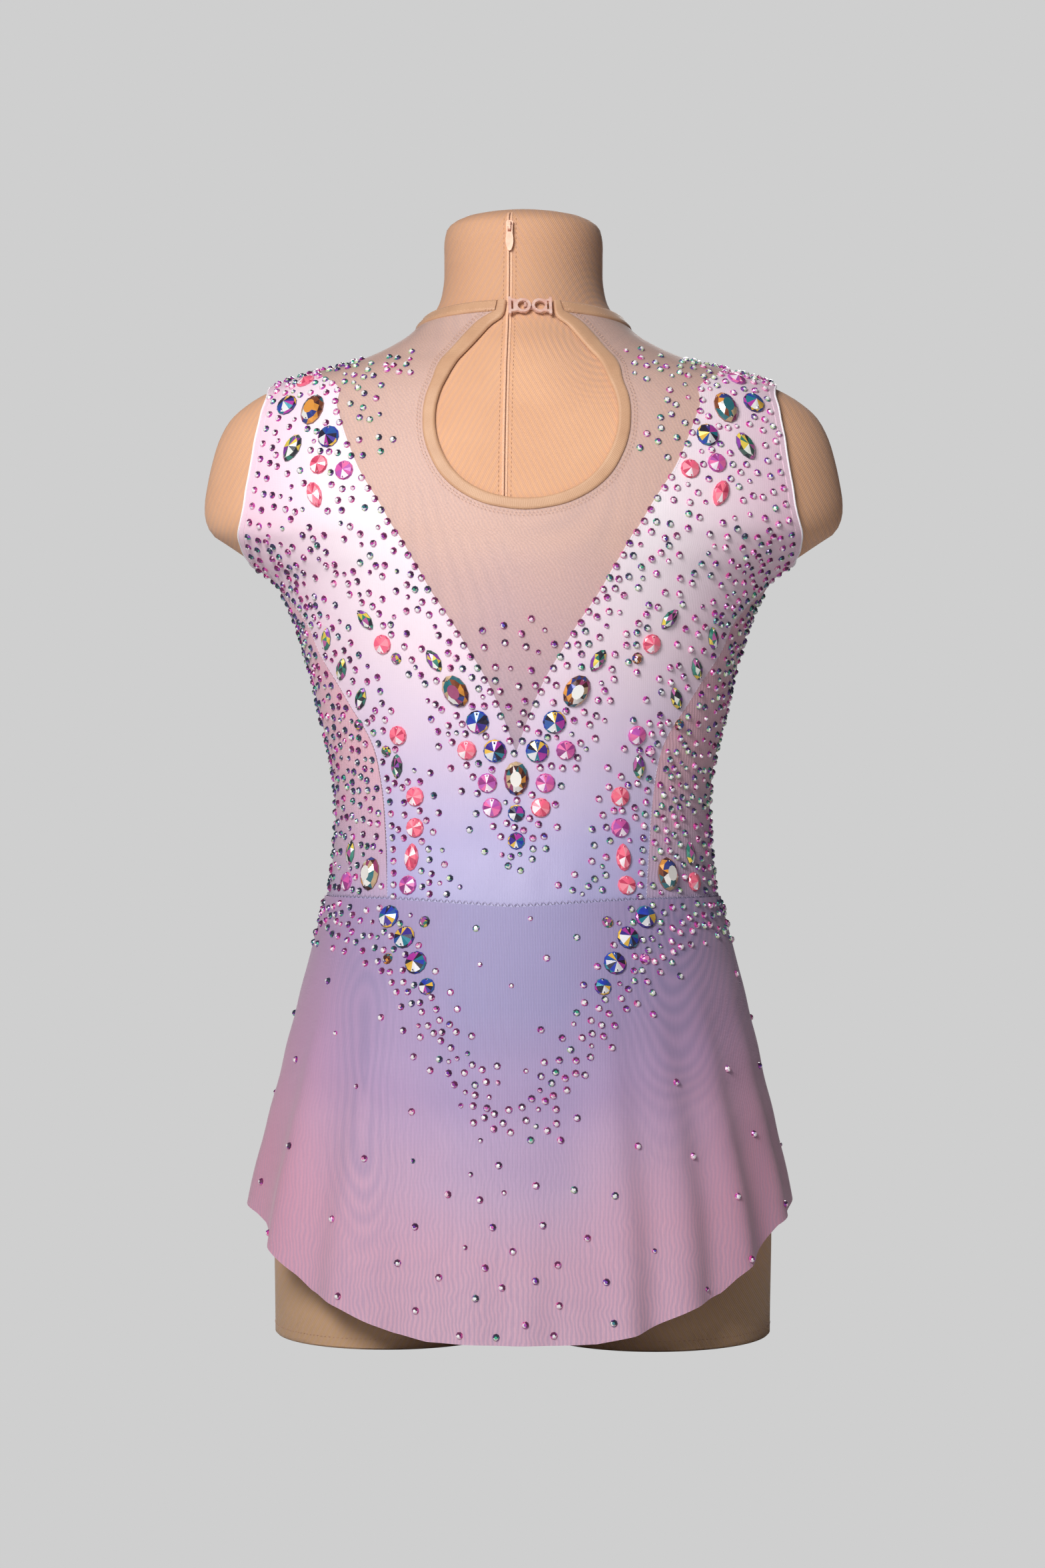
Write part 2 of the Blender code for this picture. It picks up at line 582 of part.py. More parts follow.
LINES = {}
for side, tag in ((-1, "left"), (1, "right")):
    ridge = side * RIDGE
    v_line = [(ridge, v_top[1])] + shifted(V_EDGE[:-1], side) + [back(CENTRE_X, V_EDGE[-1][1])]
    LINES["v_" + tag] = along(v_line, STEP, on_torso)
    arm = [(ridge, strap[1])] + [back(side * x, z) for x, z in ARMHOLE]
    LINES["arm_" + tag] = along(arm, STEP, on_torso)
    foot = (side * arm_foot[0], arm_foot[1])
    LINES["under_" + tag] = along([foot, (ridge, underarm[1])], STEP, on_torso)
    seam = [foot] + [back(CENTRE_X * 0.5 + side * x, z) for x, z in PRINCESS]
    seam.append((side * waist_u, float(torso.v_at(table(WAIST, waist_u)))))
    LINES["princess_" + tag] = along(seam, STEP, on_torso)
    LINES["strap_" + tag] = along([(ridge, v_top[1]), (ridge, strap[1])], STEP, on_torso)
    LINES["shoulder_" + tag] = along([neck(ridge), (ridge, v_top[1])], STEP, on_torso)
    key_u = back(KEYHOLE_X + side * BINDING_END, NECK_BACK - 0.2)[0]
    LINES["neck_" + tag] = along([neck(key_u), neck((key_u + ridge) / 2), neck(ridge)], STEP, on_torso)
    outer = [back(KEYHOLE_X + side * w, z) for w, z, _, _ in KEYHOLE]
    inner = [back(KEYHOLE_X + side * w, z) for _, _, w, z in KEYHOLE]
    LINES["key_out_" + tag] = along([neck(key_u)] + outer, STEP * 0.8, on_torso)
    free = back(KEYHOLE_X + side * CLASP_END, NECK_BACK + NECK_BAND - 0.8)
    LINES["key_in_" + tag] = along([free] + inner, STEP * 0.8, on_torso)
    LINES["key_top_" + tag] = [free, neck(key_u, NECK_BAND), neck(key_u)]
    LINES["waist_back_" + tag] = level(WAIST, side * waist_u, 0.0, 6, torso)

UNDER = LINES["under_right"]
yoke = join(LINES["neck_left"], LINES["shoulder_left"], LINES["v_left"], LINES["v_right"][::-1],
            LINES["shoulder_right"][::-1], LINES["neck_right"][::-1], LINES["key_out_right"],
            LINES["key_out_left"][::-1])
trunk = Panel(on_torso)
trunk.build("back_yoke", yoke, 13.0)


def stones_on(rows, which, centre, sections=None):
    found = []
    for kind, x, z, turn in rows:
        for side in ((1,) if x == 0 else (-1, 1)):
            if which(x, z, side):
                found.append((kind, *back(centre + side * x, z, sections), side * turn))
    return found


def on_side_panel(x, z, side):
    return z < 300.0 and x > 85.0


bodice = join(LINES["strap_left"], LINES["arm_left"], LINES["princess_left"], LINES["waist_back_left"],
              LINES["waist_back_right"][::-1], LINES["princess_right"][::-1], LINES["arm_right"][::-1],
              LINES["strap_right"][::-1], LINES["v_right"], LINES["v_left"][::-1])
trunk.build("back_bodice", bodice, 13.0, stones_on(STONES, lambda *s: not on_side_panel(*s), CENTRE_X))

front_foot = turned(arm_foot)
front_waist = rad(132.0)
front_arm = along([(RIDGE, strap[1])] + [turned(back(x, z)) for x, z in ARMHOLE_FRONT], STEP, on_torso)
front_under = along([front_foot, (RIDGE, underarm[1])], STEP, on_torso)
front_seam = [front_foot] + [turned(back(x, z)) for x, z in
                             ((157.0, 464.0), (143.0, 449.0), (131.0, 430.0), (119.0, 405.0), (103.0, 375.0),
                              (90.0, 345.0), (85.0, 318.0), (84.6, 292.0))]
front_seam.append((front_waist, float(torso.v_at(table(WAIST, front_waist)))))
front_seam = along(front_seam, STEP, on_torso)
front_v = [(RIDGE, v_top[1])] + [turned(back(x, z)) for _, x, z in FRONT_V] + [(math.pi, float(torso.v_at(488.0)))]
front_v = along(front_v, STEP, on_torso)
front_waist_line = level(WAIST, front_waist, math.pi, 6, torso)
WAIST_SIDE_BACK = level(WAIST, waist_u, RIDGE, 6, torso)
WAIST_SIDE_FRONT = level(WAIST, RIDGE, front_waist, 5, torso)
TURN = math.pi

for side, tag in ((-1, "left"), (1, "right")):
    seam = LINES["princess_" + tag]
    foot_line = join_open(WAIST_SIDE_BACK, WAIST_SIDE_FRONT)
    panel = join(LINES["princess_right"] if side > 0 else mirrored(seam), foot_line, front_seam[::-1],
                 front_under, UNDER[::-1])
    if side < 0:
        panel = mirrored(panel)[::-1]
    trunk.build("side_panel_" + tag, panel, 13.0, stones_on(STONES, lambda x, z, s: on_side_panel(x, z, s)
                                                            and s == side, CENTRE_X))

strap_line = LINES["strap_right"]
front = join(strap_line[::-1], front_v, mirrored(front_v, TURN)[::-1], mirrored(strap_line, TURN),
             mirrored(front_arm, TURN), mirrored(front_seam, TURN), mirrored(front_waist_line, TURN),
             front_waist_line[::-1], front_seam[::-1], front_arm[::-1])
trunk.build("front_bodice", front, 14.0, fan=12.0)
front_neck = along([neck(RIDGE), neck(rad(135.0)), neck(TURN)], STEP, on_torso)
shoulder = LINES["shoulder_right"]
yoke = join(front_neck, mirrored(front_neck, TURN)[::-1], mirrored(shoulder, TURN),
            mirrored(front_v, TURN), front_v[::-1], shoulder[::-1])
trunk.build("front_yoke", yoke, 13.0)

crotch_u = math.asin(14.0 / 153.0)
crotch_v = float(torso.v_at(70.5))
half_top = join_open(LINES["waist_back_right"][::-1], WAIST_SIDE_BACK)
brief_top = join_open(mirrored(half_top)[::-1], half_top)
side_line = along([(RIDGE, float(torso.v_at(table(WAIST, RIDGE)))), (RIDGE, float(torso.v_at(165.0)))], 20.0, on_torso)
leg = along([(rad(a), float(torso.v_at(z))) for a, z in LEG_BACK] + [(crotch_u, crotch_v)], STEP, on_torso)
brief = join(brief_top, side_line, leg, mirrored(leg)[::-1], mirrored(side_line)[::-1])
trunk.build("brief_back", brief, 14.0)
half_top = join_open(WAIST_SIDE_FRONT, front_waist_line)
brief_top = join_open(half_top, mirrored(half_top, TURN)[::-1])
leg = along([(rad(a), float(torso.v_at(z))) for a, z in LEG_FRONT] + [(TURN - crotch_u, crotch_v)], STEP, on_torso)
brief = join(brief_top[::-1], side_line, leg, mirrored(leg, TURN)[::-1], mirrored(side_line, TURN)[::-1])
trunk.build("brief_front", brief, 14.0)

hips = Panel(on_skirt, 0.5)
skirt_rows = [float(skirt.v_at(z)) for z in (250.0, 232.0, 210.0, 186.0, 160.0, 136.0, 112.0, 88.0, 64.0, 42.0,
                                             24.0)]
SKIRT_SEAM = rad(97.0)


def skirt_edges(start, end, count):
    hem = level(HEM, start, end, count, skirt)
    top = [(u, float(skirt.v_at(table(WAIST, u) - 0.6))) for u in np.linspace(start, end, count // 2)]
    left = [(start, v) for v in np.linspace(top[0][1], hem[0][1], 12)]
    right = [(end, v) for v in np.linspace(hem[-1][1], top[-1][1], 12)]
    return join(left, hem, right, top[::-1])


hips.build("skirt_back", skirt_edges(-SKIRT_SEAM, SKIRT_SEAM, 54), 10.0,
           stones_on(SKIRT_STONES, lambda *s: True, CENTRE_X, skirt), 0.0, SKIRT_WALL, skirt_rows, 4.6)
hips.build("skirt_front", skirt_edges(SKIRT_SEAM, 2 * math.pi - SKIRT_SEAM, 40), 10.0, (), 0.0, SKIRT_WALL,
           skirt_rows[:8], 6.0)

key = join(LINES["key_top_right"][::-1], LINES["key_in_right"], LINES["key_in_left"][::-1],
           LINES["key_top_left"], LINES["key_out_left"], LINES["key_out_right"][::-1])
trunk.build("keyhole_binding", key, 30.0, (), TRIM_IN, TRIM_OUT)
end_l = back(KEYHOLE_X - BINDING_END, NECK_BACK - 0.2)[0] + 2 * math.pi
end_r = back(KEYHOLE_X + BINDING_END, NECK_BACK - 0.2)[0]
low = [neck(u) for u in np.linspace(end_r, end_l, 40)]
top = [neck(u, NECK_BAND) for u in np.linspace(end_r, end_l, 40)]
trunk.build("neck_binding", join(low, top[::-1]), 30.0, (), TRIM_IN, TRIM_OUT)

CROTCH = 16.0              # half width of the bridge between the thighs
CROTCH_DROP = 24.0
THIGH = (80.0, -2.0, 72.0, 85.0)   # centre x, centre y, half width, half depth at the cut
QUADRANT = (6.0, 17.0, 28.0, 39.0, 50.0, 61.0, 71.0, 81.0)
RIGHT = [rad(a) for a in QUADRANT] + [RIDGE] + [math.pi - rad(a) for a in QUADRANT[::-1]]
AROUND = [0.0] + RIGHT + [math.pi] + [-a for a in RIGHT[::-1]]
FORM_V = [float(torso.v_at(z)) for z in
          (70.0, 92.0, 118.0, 144.0, 170.0, 196.0, 220.0, 244.0, 268.0, 292.0, 318.0, 344.0, 368.0, 392.0, 414.0,
           434.0, 450.0, 462.0, 473.0, 483.0, 491.0, 498.0, 507.0, 526.0, 546.0, 561.0, 573.0, 582.0, 590.0,
           597.5, 605.0, 612.5, 621.0, 631.0, 645.0, 662.0, 675.0, 681.0, 685.4, 688.6)]


def bridge(s):
    """The curve from the centre back, under the crotch, to the centre front."""
    a = math.pi * s
    lo, hi = TORSO[0][2], TORSO[0][3]
    y = (lo + hi) / 2 - (hi - lo) / 2 * math.copysign(abs(math.cos(a)) ** 0.5, math.cos(a))
    return y, TORSO[0][0] - CROTCH_DROP * math.sin(a) ** 0.5


def make_form():
    points = []
    faces = []
    count = len(AROUND)
    for v in FORM_V:
        points += list(torso.point(np.array(AROUND), np.full(count, v)))
    rows = len(FORM_V)
    for r in range(rows - 1):
        for j in range(count):
            k = (j + 1) % count
            faces.append((r * count + j, r * count + k, (r + 1) * count + k, (r + 1) * count + j))
    points.append(np.array([0.0, 12.0, 690.0]))
    tip = len(points) - 1
    for j in range(count):
        faces.append(((rows - 1) * count + j, (rows - 1) * count + (j + 1) % count, tip))
    spans = 12
    strips = []
    for x, first, last in ((-CROTCH, count - 1, len(RIGHT) + 2), (0.0, 0, len(RIGHT) + 1), (CROTCH, 1, len(RIGHT))):
        strip = [first]
        for i in range(1, spans):
            y, z = bridge(0.5 - 0.5 * math.cos(math.pi * i / spans))
            points.append(np.array([x, y, z]))
            strip.append(len(points) - 1)
        strips.append(strip + [last])
    for a, b in zip(strips, strips[1:]):
        for i in range(spans):
            faces.append((a[i], a[i + 1], b[i + 1], b[i]))
    for side, strip in ((1, strips[2]), (-1, strips[0])):
        if side > 0:
            outside = list(range(1, len(RIGHT) + 1))
        else:
            outside = list(range(count - 1, len(RIGHT) + 1, -1))
        loop = outside + strip[::-1][1:-1]
        top = np.array([points[i] for i in loop])
        spread = np.arctan2(side * (top[:, 0] - side * THIGH[0]) / THIGH[2], -(top[:, 1] - THIGH[1]) / THIGH[3])
        order = np.unwrap(spread)
        previous = loop
        levels = (0.2, 0.42, 0.66, 0.86, 1.0)
        for s in levels:
            w = s * s * (3 - 2 * s)
            ring = []
            for p, a in zip(top, order):
                goal = np.array([side * (THIGH[0] + THIGH[2] * math.sin(a)), THIGH[1] - THIGH[3] * math.cos(a), 0.0])
                spot = p * (1 - w) + goal * w
                spot[2] = p[2] * (1 - s)
                points.append(spot)
                ring.append(len(points) - 1)
            for i in range(len(ring)):
                k = (i + 1) % len(ring)
                quad = (previous[i], ring[i], ring[k], previous[k])
                faces.append(quad if side > 0 else quad[::-1])
            previous = ring
        faces.append(tuple(previous[::-1]) if side > 0 else tuple(previous))
    return solid("form", points, faces)


def make_gusset():
    """The crotch piece: a strip that follows the bridge between the thighs."""
    spans = 14
    rows = []
    for i in range(spans + 1):
        s = 0.5 - 0.5 * math.cos(math.pi * i / spans)
        y, z = bridge(s)
        y0, z0 = bridge(max(s - 0.004, 0.0))
        y1, z1 = bridge(min(s + 0.004, 1.0))
        run = math.hypot(y1 - y0, z1 - z0)
        rows.append((y, z, (z1 - z0) / run, -(y1 - y0) / run))
    across = (-13.8, 0.0, 13.8)
    points = [(x, y + ny * d, z + nz * d) for d in (CLOTH_IN, CLOTH_OUT) for y, z, ny, nz in rows for x in across]
    wide = len(across)
    layer = wide * (spans + 1)
    faces = []
    for i in range(spans):
        for j in range(wide - 1):
            a, b = i * wide + j, i * wide + j + 1
            faces.append((a, b, b + wide, a + wide))
            faces.append((a + layer, a + wide + layer, b + wide + layer, b + layer))
    loop = [j for j in range(wide)] + [i * wide + wide - 1 for i in range(1, spans + 1)]
    loop += [spans * wide + j for j in range(wide - 2, -1, -1)] + [i * wide for i in range(spans - 1, 0, -1)]
    for a, b in zip(loop, loop[1:] + loop[:1]):
        faces.append((a, a + layer, b + layer, b))
    return solid("gusset", points, faces)


def plate(name, outline, holes, near, far, origin, right, up, out, keep=True):
    """A flat piece with holes, between two heights over a small plane of its own."""
    loops = [np.array(outline, float)] + [np.array(h, float) for h in holes]
    points = np.concatenate(loops)
    edges = []
    start = 0
    for loop in loops:
        edges += [(start + i, start + (i + 1) % len(loop)) for i in range(len(loop))]
        start += len(loop)
    found = geometry.delaunay_2d_cdt([Vector(p) for p in points], edges, [list(range(len(outline)))], 1, 1e-6)
    where = {source: i for i, sources in enumerate(found[3]) for source in sources}
    spots = np.array([tuple(p) for p in found[0]])
    tris = [tuple(f) for f in found[2]]
    for hole in loops[1:]:
        middles = np.array([spots[list(t)].mean(0) for t in tris])
        tris = [t for t, gone in zip(tris, inside(hole, middles)) if not gone]
    world = [origin + right * x + up * y for x, y in spots]
    count = len(world)
    cloud = [w + out * near for w in world] + [w + out * far for w in world]
    faces = [(c, b, a) for a, b, c in tris] + [(a + count, b + count, c + count) for a, b, c in tris]
    start = 0
    for k, loop in enumerate(loops):
        order = [where[start + i] for i in range(len(loop))]
        start += len(loop)
        if (signed(loop) > 0) == (k > 0):
            order = order[::-1]
        for a, b in zip(order, order[1:] + order[:1]):
            faces.append((a, b, b + count))
            faces.append((a, b + count, a + count))
    if keep:
        return solid(name, cloud, faces)
    return cutter(name, cloud, faces)


def cutter(name, points, faces):
    mesh = bpy.data.meshes.new(name)
    mesh.from_pydata([tuple(float(c) * MM for c in p) for p in points], [], [tuple(int(i) for i in f) for f in faces])
    body = bpy.data.objects.new(name, mesh)
    CUTTERS.objects.link(body)
    body.hide_render = True
    body.display_type = "WIRE"
    return body


def unite(body, others):
    for other in others:
        modifier = body.modifiers.new("join_" + other.name, "BOOLEAN")
        modifier.operation = "UNION"
        modifier.solver = "EXACT"
        modifier.object = other


def box(x0, x1, y0, y1):
    return [(x0, y0), (x1, y0), (x1, y1), (x0, y1)]


def circle(x, y, radius, count, start=0.0, sweep=360.0):
    full = sweep >= 360.0
    spots = []
    for i in range(count):
        a = rad(start + sweep * i / (count if full else count - 1))
        spots.append((x + radius * math.cos(a), y + radius * math.sin(a)))
    return spots


CUTTERS = bpy.data.collections.new("cutters")
bpy.context.scene.collection.children.link(CUTTERS)
X, Y, Z = np.eye(3)

make_form()
make_gusset()

ZIP_PLANE = np.array([ZIP_X, -37.9, 674.0])    # the slider's back face, 0.5 mm clear of the neck
PIN = 2.25                                     # the pull's cross bar above that plane
slider = plate("zip_slider", [(-1.5, -3.5), (1.5, -3.5), (2.1, -1.0), (2.1, 2.6), (1.0, 3.5), (-1.0, 3.5),
                              (-2.1, 2.6), (-2.1, -1.0)], [], 0.0, 1.1, ZIP_PLANE, X, Z, -Y)
arch = [(0.7, -2.7), (3.7, -2.7), (4.25, -2.1), (4.25, 2.1), (3.7, 2.7), (0.7, 2.7)]
arch_hole = [(1.3, -1.7), (3.2, -1.7), (3.2, 1.7), (1.3, 1.7)]
bow = plate("zip_bow", arch, [arch_hole], -0.7, 0.7, ZIP_PLANE, -Y, Z, X, keep=False)
unite(slider, [bow])
pull_outline = [(-1.9, 0.1), (-1.5, 0.45), (1.5, 0.45), (1.9, 0.1), (1.9, -4.6), (2.3, -7.4), (2.35, -10.0),
                (1.9, -12.6), (1.1, -14.6), (0.0, -15.3), (-1.1, -14.6), (-1.9, -12.6), (-2.35, -10.0),
                (-2.3, -7.4), (-1.9, -4.6)]
plate("zip_pull", pull_outline, [box(-1.1, 1.1, -3.8, -0.45)], PIN - 0.45, PIN + 0.45, ZIP_PLANE, X, Z, -Y)

clasp_u, clasp_v = back(KEYHOLE_X + 0.3, NECK_BACK + 2.2)
seat, clasp_out = on_torso(np.array([clasp_u]), np.array([clasp_v]))
seat, clasp_out = seat[0], clasp_out[0]
clasp_right = np.cross(Z, clasp_out) * -1.0
clasp_right /= -np.linalg.norm(clasp_right)
clasp_up = np.cross(clasp_out, clasp_right)


def clasp_half(side, middle):
    """A bar for the binding to fold over, a slot beside it and a round eye."""
    arms = [(-13.2, -6.0), (-11.5, -6.0), (-11.5, -4.7), (-middle - 4.0, -4.2)]
    outline = arms + circle(-middle, 0.0, 5.0, 11, -125.0, 250.0) + [(x, -y) for x, y in arms[::-1]]
    holes = [box(-11.4, -10.2, -3.0, 3.0), circle(-middle, 0.0, 3.2, 12)]
    if side < 0:
        return outline, holes
    return [(-x, y) for x, y in outline[::-1]], [[(-x, y) for x, y in hole[::-1]] for hole in holes]


BASE, TOP = 2.3, 3.9
outline, holes = clasp_half(-1, 4.4)
plate("clasp_eye", outline, holes, BASE, TOP, seat, clasp_right, clasp_up, clasp_out)
outline, holes = clasp_half(1, 5.9)
hook = plate("clasp_hook", outline, holes, BASE, TOP, seat, clasp_right, clasp_up, clasp_out)
tongue = [(2.4, 3.2), (1.25, 3.2), (1.25, 1.9), (-2.5, 1.9), (-2.5, 4.4), (-3.7, 4.4), (-3.7, 0.8), (2.4, 0.8)]
tongue = plate("clasp_tongue", tongue, [], -1.5, 1.5, seat, clasp_right, clasp_out, -clasp_up, keep=False)
unite(hook, [tongue])

bpy.context.view_layer.update()
bodies = list(PARTS.objects)
reach = [v.co.y for body in bodies for v in body.data.vertices]
MIDDLE = (min(reach) + max(reach)) / 2
for body in bodies + list(CUTTERS.objects):
    for v in body.data.vertices:
        v.co.y -= MIDDLE
print("moved by", round(-MIDDLE / MM, 3), "mm along Y, to stand over the origin")
print("pull pin", [round(float(c), 4) for c in (ZIP_PLANE - Y * (PIN + MIDDLE / MM)) * MM])
print("all triangles", sum(len(p.vertices) - 2 for body in bodies for p in body.data.polygons))
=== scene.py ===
# %% [markdown]
# # A rhythmic gymnastics leotard on its dress form
#
# The real thing is a stretch leotard, seen from its back, pulled over a padded form with no head, arms or
# legs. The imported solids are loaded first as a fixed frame: they say how large everything is and where it
# sits. Each cell below then makes one finer piece that stands for one of those solids, in the same frame.

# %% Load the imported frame
import math
import random

import bmesh
import bpy
import numpy as np
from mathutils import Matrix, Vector, geometry


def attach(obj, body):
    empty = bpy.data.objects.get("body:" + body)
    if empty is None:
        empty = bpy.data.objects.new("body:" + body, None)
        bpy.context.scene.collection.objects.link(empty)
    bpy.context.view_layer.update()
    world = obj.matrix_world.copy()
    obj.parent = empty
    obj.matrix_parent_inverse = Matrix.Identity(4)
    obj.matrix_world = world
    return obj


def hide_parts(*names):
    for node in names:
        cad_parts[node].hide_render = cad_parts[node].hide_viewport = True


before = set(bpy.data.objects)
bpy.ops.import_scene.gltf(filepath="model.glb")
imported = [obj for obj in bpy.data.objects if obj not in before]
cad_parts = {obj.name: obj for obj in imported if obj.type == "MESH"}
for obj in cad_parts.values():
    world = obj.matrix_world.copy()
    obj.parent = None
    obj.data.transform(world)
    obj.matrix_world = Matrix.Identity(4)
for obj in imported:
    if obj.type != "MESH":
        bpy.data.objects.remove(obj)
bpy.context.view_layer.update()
BODY = "dressed_form"

# %% [markdown]
# ## The body's sections
#
# A dress form could be sculpted, but a body is easier to keep to size as a stack of rings. Each row of the
# table gives a ring's height, half width, back, front and side depth in millimetres, and a roundness that
# squares it a little at the shoulders. A smooth curve joins the rings, so a place on the body is named by
# an angle round it and a length up its side. Everything that is worn lies on that same surface.

# %% Sections of the body and of the skirt
MM = 0.001
MOVED_Y = 8.966            # the whole part was moved this far to stand over the origin
TORSO = (
    # z, half width, back y, front y, side y, roundness
    (70.0, 153.0, -92.0, 86.0, -3.0, 1.0),
    (88.0, 152.0, -97.0, 88.0, -3.0, 1.0),
    (105.0, 150.0, -102.0, 90.0, -3.0, 1.0),
    (121.0, 147.5, -106.5, 92.0, -3.0, 1.0),
    (138.0, 144.5, -110.0, 94.0, -3.0, 1.0),
    (154.0, 141.5, -112.5, 95.0, -3.0, 1.0),
    (170.0, 138.5, -113.0, 95.5, -3.0, 1.0),
    (187.0, 135.0, -111.5, 95.5, -3.0, 1.0),
    (203.0, 131.5, -108.0, 95.0, -3.0, 1.0),
    (220.0, 127.5, -103.0, 94.0, -2.0, 1.0),
    (236.0, 123.5, -97.0, 93.0, -2.0, 1.0),
    (252.0, 120.0, -91.0, 91.5, -1.0, 1.0),
    (269.0, 117.3, -86.0, 90.0, 0.0, 1.0),
    (285.0, 115.2, -82.5, 89.0, 0.0, 1.0),
    (302.0, 113.8, -80.0, 88.5, 0.0, 1.0),
    (318.0, 113.1, -79.5, 88.5, 0.0, 1.0),
    (334.0, 113.7, -80.0, 89.5, 0.0, 1.0),
    (351.0, 116.0, -82.0, 92.0, 0.0, 1.0),
    (367.0, 119.8, -84.5, 95.0, 0.0, 1.0),
    (384.0, 124.0, -87.0, 99.0, 0.0, 1.0),
    (400.0, 127.3, -89.5, 104.0, 0.0, 1.0),
    (416.0, 132.0, -91.5, 108.0, 0.0, 1.0),
    (433.0, 137.0, -93.5, 111.0, -1.0, 1.02),
    (449.0, 143.8, -95.0, 111.0, -1.0, 1.05),
    (462.0, 152.0, -96.0, 108.5, -2.0, 1.10),
    (472.0, 165.6, -96.0, 106.0, -2.0, 1.14),
    (482.0, 180.2, -95.5, 104.0, -2.0, 1.17),
    (491.0, 192.6, -95.0, 102.0, -2.0, 1.18),
    (499.0, 196.0, -94.3, 100.0, -2.0, 1.18),
    (508.0, 196.5, -93.0, 98.0, -2.0, 1.18),
    (520.0, 194.8, -91.0, 94.5, -2.0, 1.18),
    (534.0, 191.8, -88.0, 90.0, -2.0, 1.18),
    (548.0, 187.6, -84.0, 85.0, -1.0, 1.18),
    (560.0, 181.2, -79.5, 80.5, 0.0, 1.17),
    (571.0, 168.8, -75.5, 76.5, 1.0, 1.15),
    (580.0, 152.0, -71.0, 72.0, 2.0, 1.12),
    (588.0, 126.0, -66.5, 68.5, 3.0, 1.08),
    (595.5, 99.5, -62.0, 65.0, 4.0, 1.05),
    (603.0, 82.5, -57.5, 61.5, 5.0, 1.02),
    (611.0, 69.5, -52.0, 58.5, 6.0, 1.0),
    (620.0, 60.5, -47.0, 57.0, 7.0, 1.0),
    (631.0, 52.5, -42.0, 57.0, 9.0, 1.0),
    (644.0, 49.4, -39.0, 58.5, 11.0, 1.0),
    (660.0, 49.0, -38.0, 60.0, 12.0, 1.0),
    (672.0, 48.8, -37.4, 60.0, 12.0, 1.0),
    (679.0, 47.0, -35.6, 58.2, 12.0, 1.0),
    (683.5, 41.5, -30.0, 52.5, 12.0, 1.0),
    (687.0, 30.0, -18.5, 41.0, 12.0, 1.0),
    (689.3, 15.0, -3.5, 26.5, 12.0, 1.0),
    (690.0, 0.001, 11.9, 12.1, 12.0, 1.0),
)
SKIRT = (
    # z, half width, back y, front y, side y, roundness
    (2.0, 171.1, -130.0, 112.4, 0.0, 1.0),
    (22.0, 170.1, -129.4, 111.8, 0.0, 1.0),
    (40.0, 169.0, -128.8, 111.0, 0.0, 1.0),
    (60.0, 167.5, -127.8, 110.0, 0.0, 1.0),
    (79.0, 165.1, -126.4, 109.0, 0.0, 1.0),
    (105.0, 160.1, -124.4, 107.0, 0.0, 1.0),
    (121.0, 156.3, -123.0, 105.6, 0.0, 1.0),
    (138.0, 152.3, -121.6, 104.2, 0.0, 1.0),
    (154.0, 148.6, -120.2, 103.0, 0.0, 1.0),
    (170.0, 144.8, -118.8, 102.0, 0.0, 1.0),
    (187.0, 141.0, -116.4, 101.0, 0.0, 1.0),
    (203.0, 137.2, -112.6, 100.0, 0.0, 1.0),
    (220.0, 132.8, -107.4, 98.8, 0.0, 1.0),
    (236.0, 128.8, -101.4, 97.6, 0.0, 1.0),
    (252.0, 124.4, -95.4, 96.0, 0.0, 1.0),
    (262.0, 122.0, -92.2, 95.0, 0.0, 1.0),
    (270.0, 120.6, -89.6, 94.2, 0.0, 1.0),
    (278.0, 119.6, -87.4, 93.8, 0.0, 1.0),
)


def rad(degrees):
    return degrees * math.pi / 180.0


class Sections:
    """Rings that a table names by height, joined by a smooth curve along the side profile."""

    def __init__(self, rows):
        self.rows = np.array(rows)
        steps = np.hypot(np.diff(self.rows[:, 0]), np.diff(self.rows[:, 1]))
        self.v = np.concatenate([[0.0], np.cumsum(steps)])
        self.slope = np.gradient(self.rows, self.v, axis=0)

    def at(self, v):
        v = np.clip(np.asarray(v, float), self.v[0], self.v[-1])
        i = np.clip(np.searchsorted(self.v, v, side="right") - 1, 0, len(self.v) - 2)
        h = self.v[i + 1] - self.v[i]
        t = ((v - self.v[i]) / h)[..., None]
        h = h[..., None]
        a, b = self.rows[i], self.rows[i + 1]
        da, db = self.slope[i] * h, self.slope[i + 1] * h
        return ((2 * t**3 - 3 * t**2 + 1) * a + (t**3 - 2 * t**2 + t) * da
                + (3 * t**2 - 2 * t**3) * b + (t**3 - t**2) * db)

    def v_at(self, z):
        lo = np.full(np.shape(z), self.v[0])
        hi = np.full(np.shape(z), self.v[-1])
        for _ in range(40):
            mid = (lo + hi) / 2
            low = self.at(mid)[..., 0] < z
            lo = np.where(low, mid, lo)
            hi = np.where(low, hi, mid)
        return (lo + hi) / 2

    def point(self, angle, v):
        z, a, back, front, side, p = np.moveaxis(self.at(v), -1, 0)
        c = np.cos(angle)
        reach = np.where(c > 0, side - back, front - side)
        y = side - np.sign(c) * reach * np.abs(c) ** p
        return np.stack([a * np.sin(angle), y, z], -1)


torso = Sections(TORSO)
skirt = Sections(SKIRT)
print("side profile:", round(float(torso.v[-1])), "mm of body,", round(float(skirt.v[-1])), "mm of skirt")
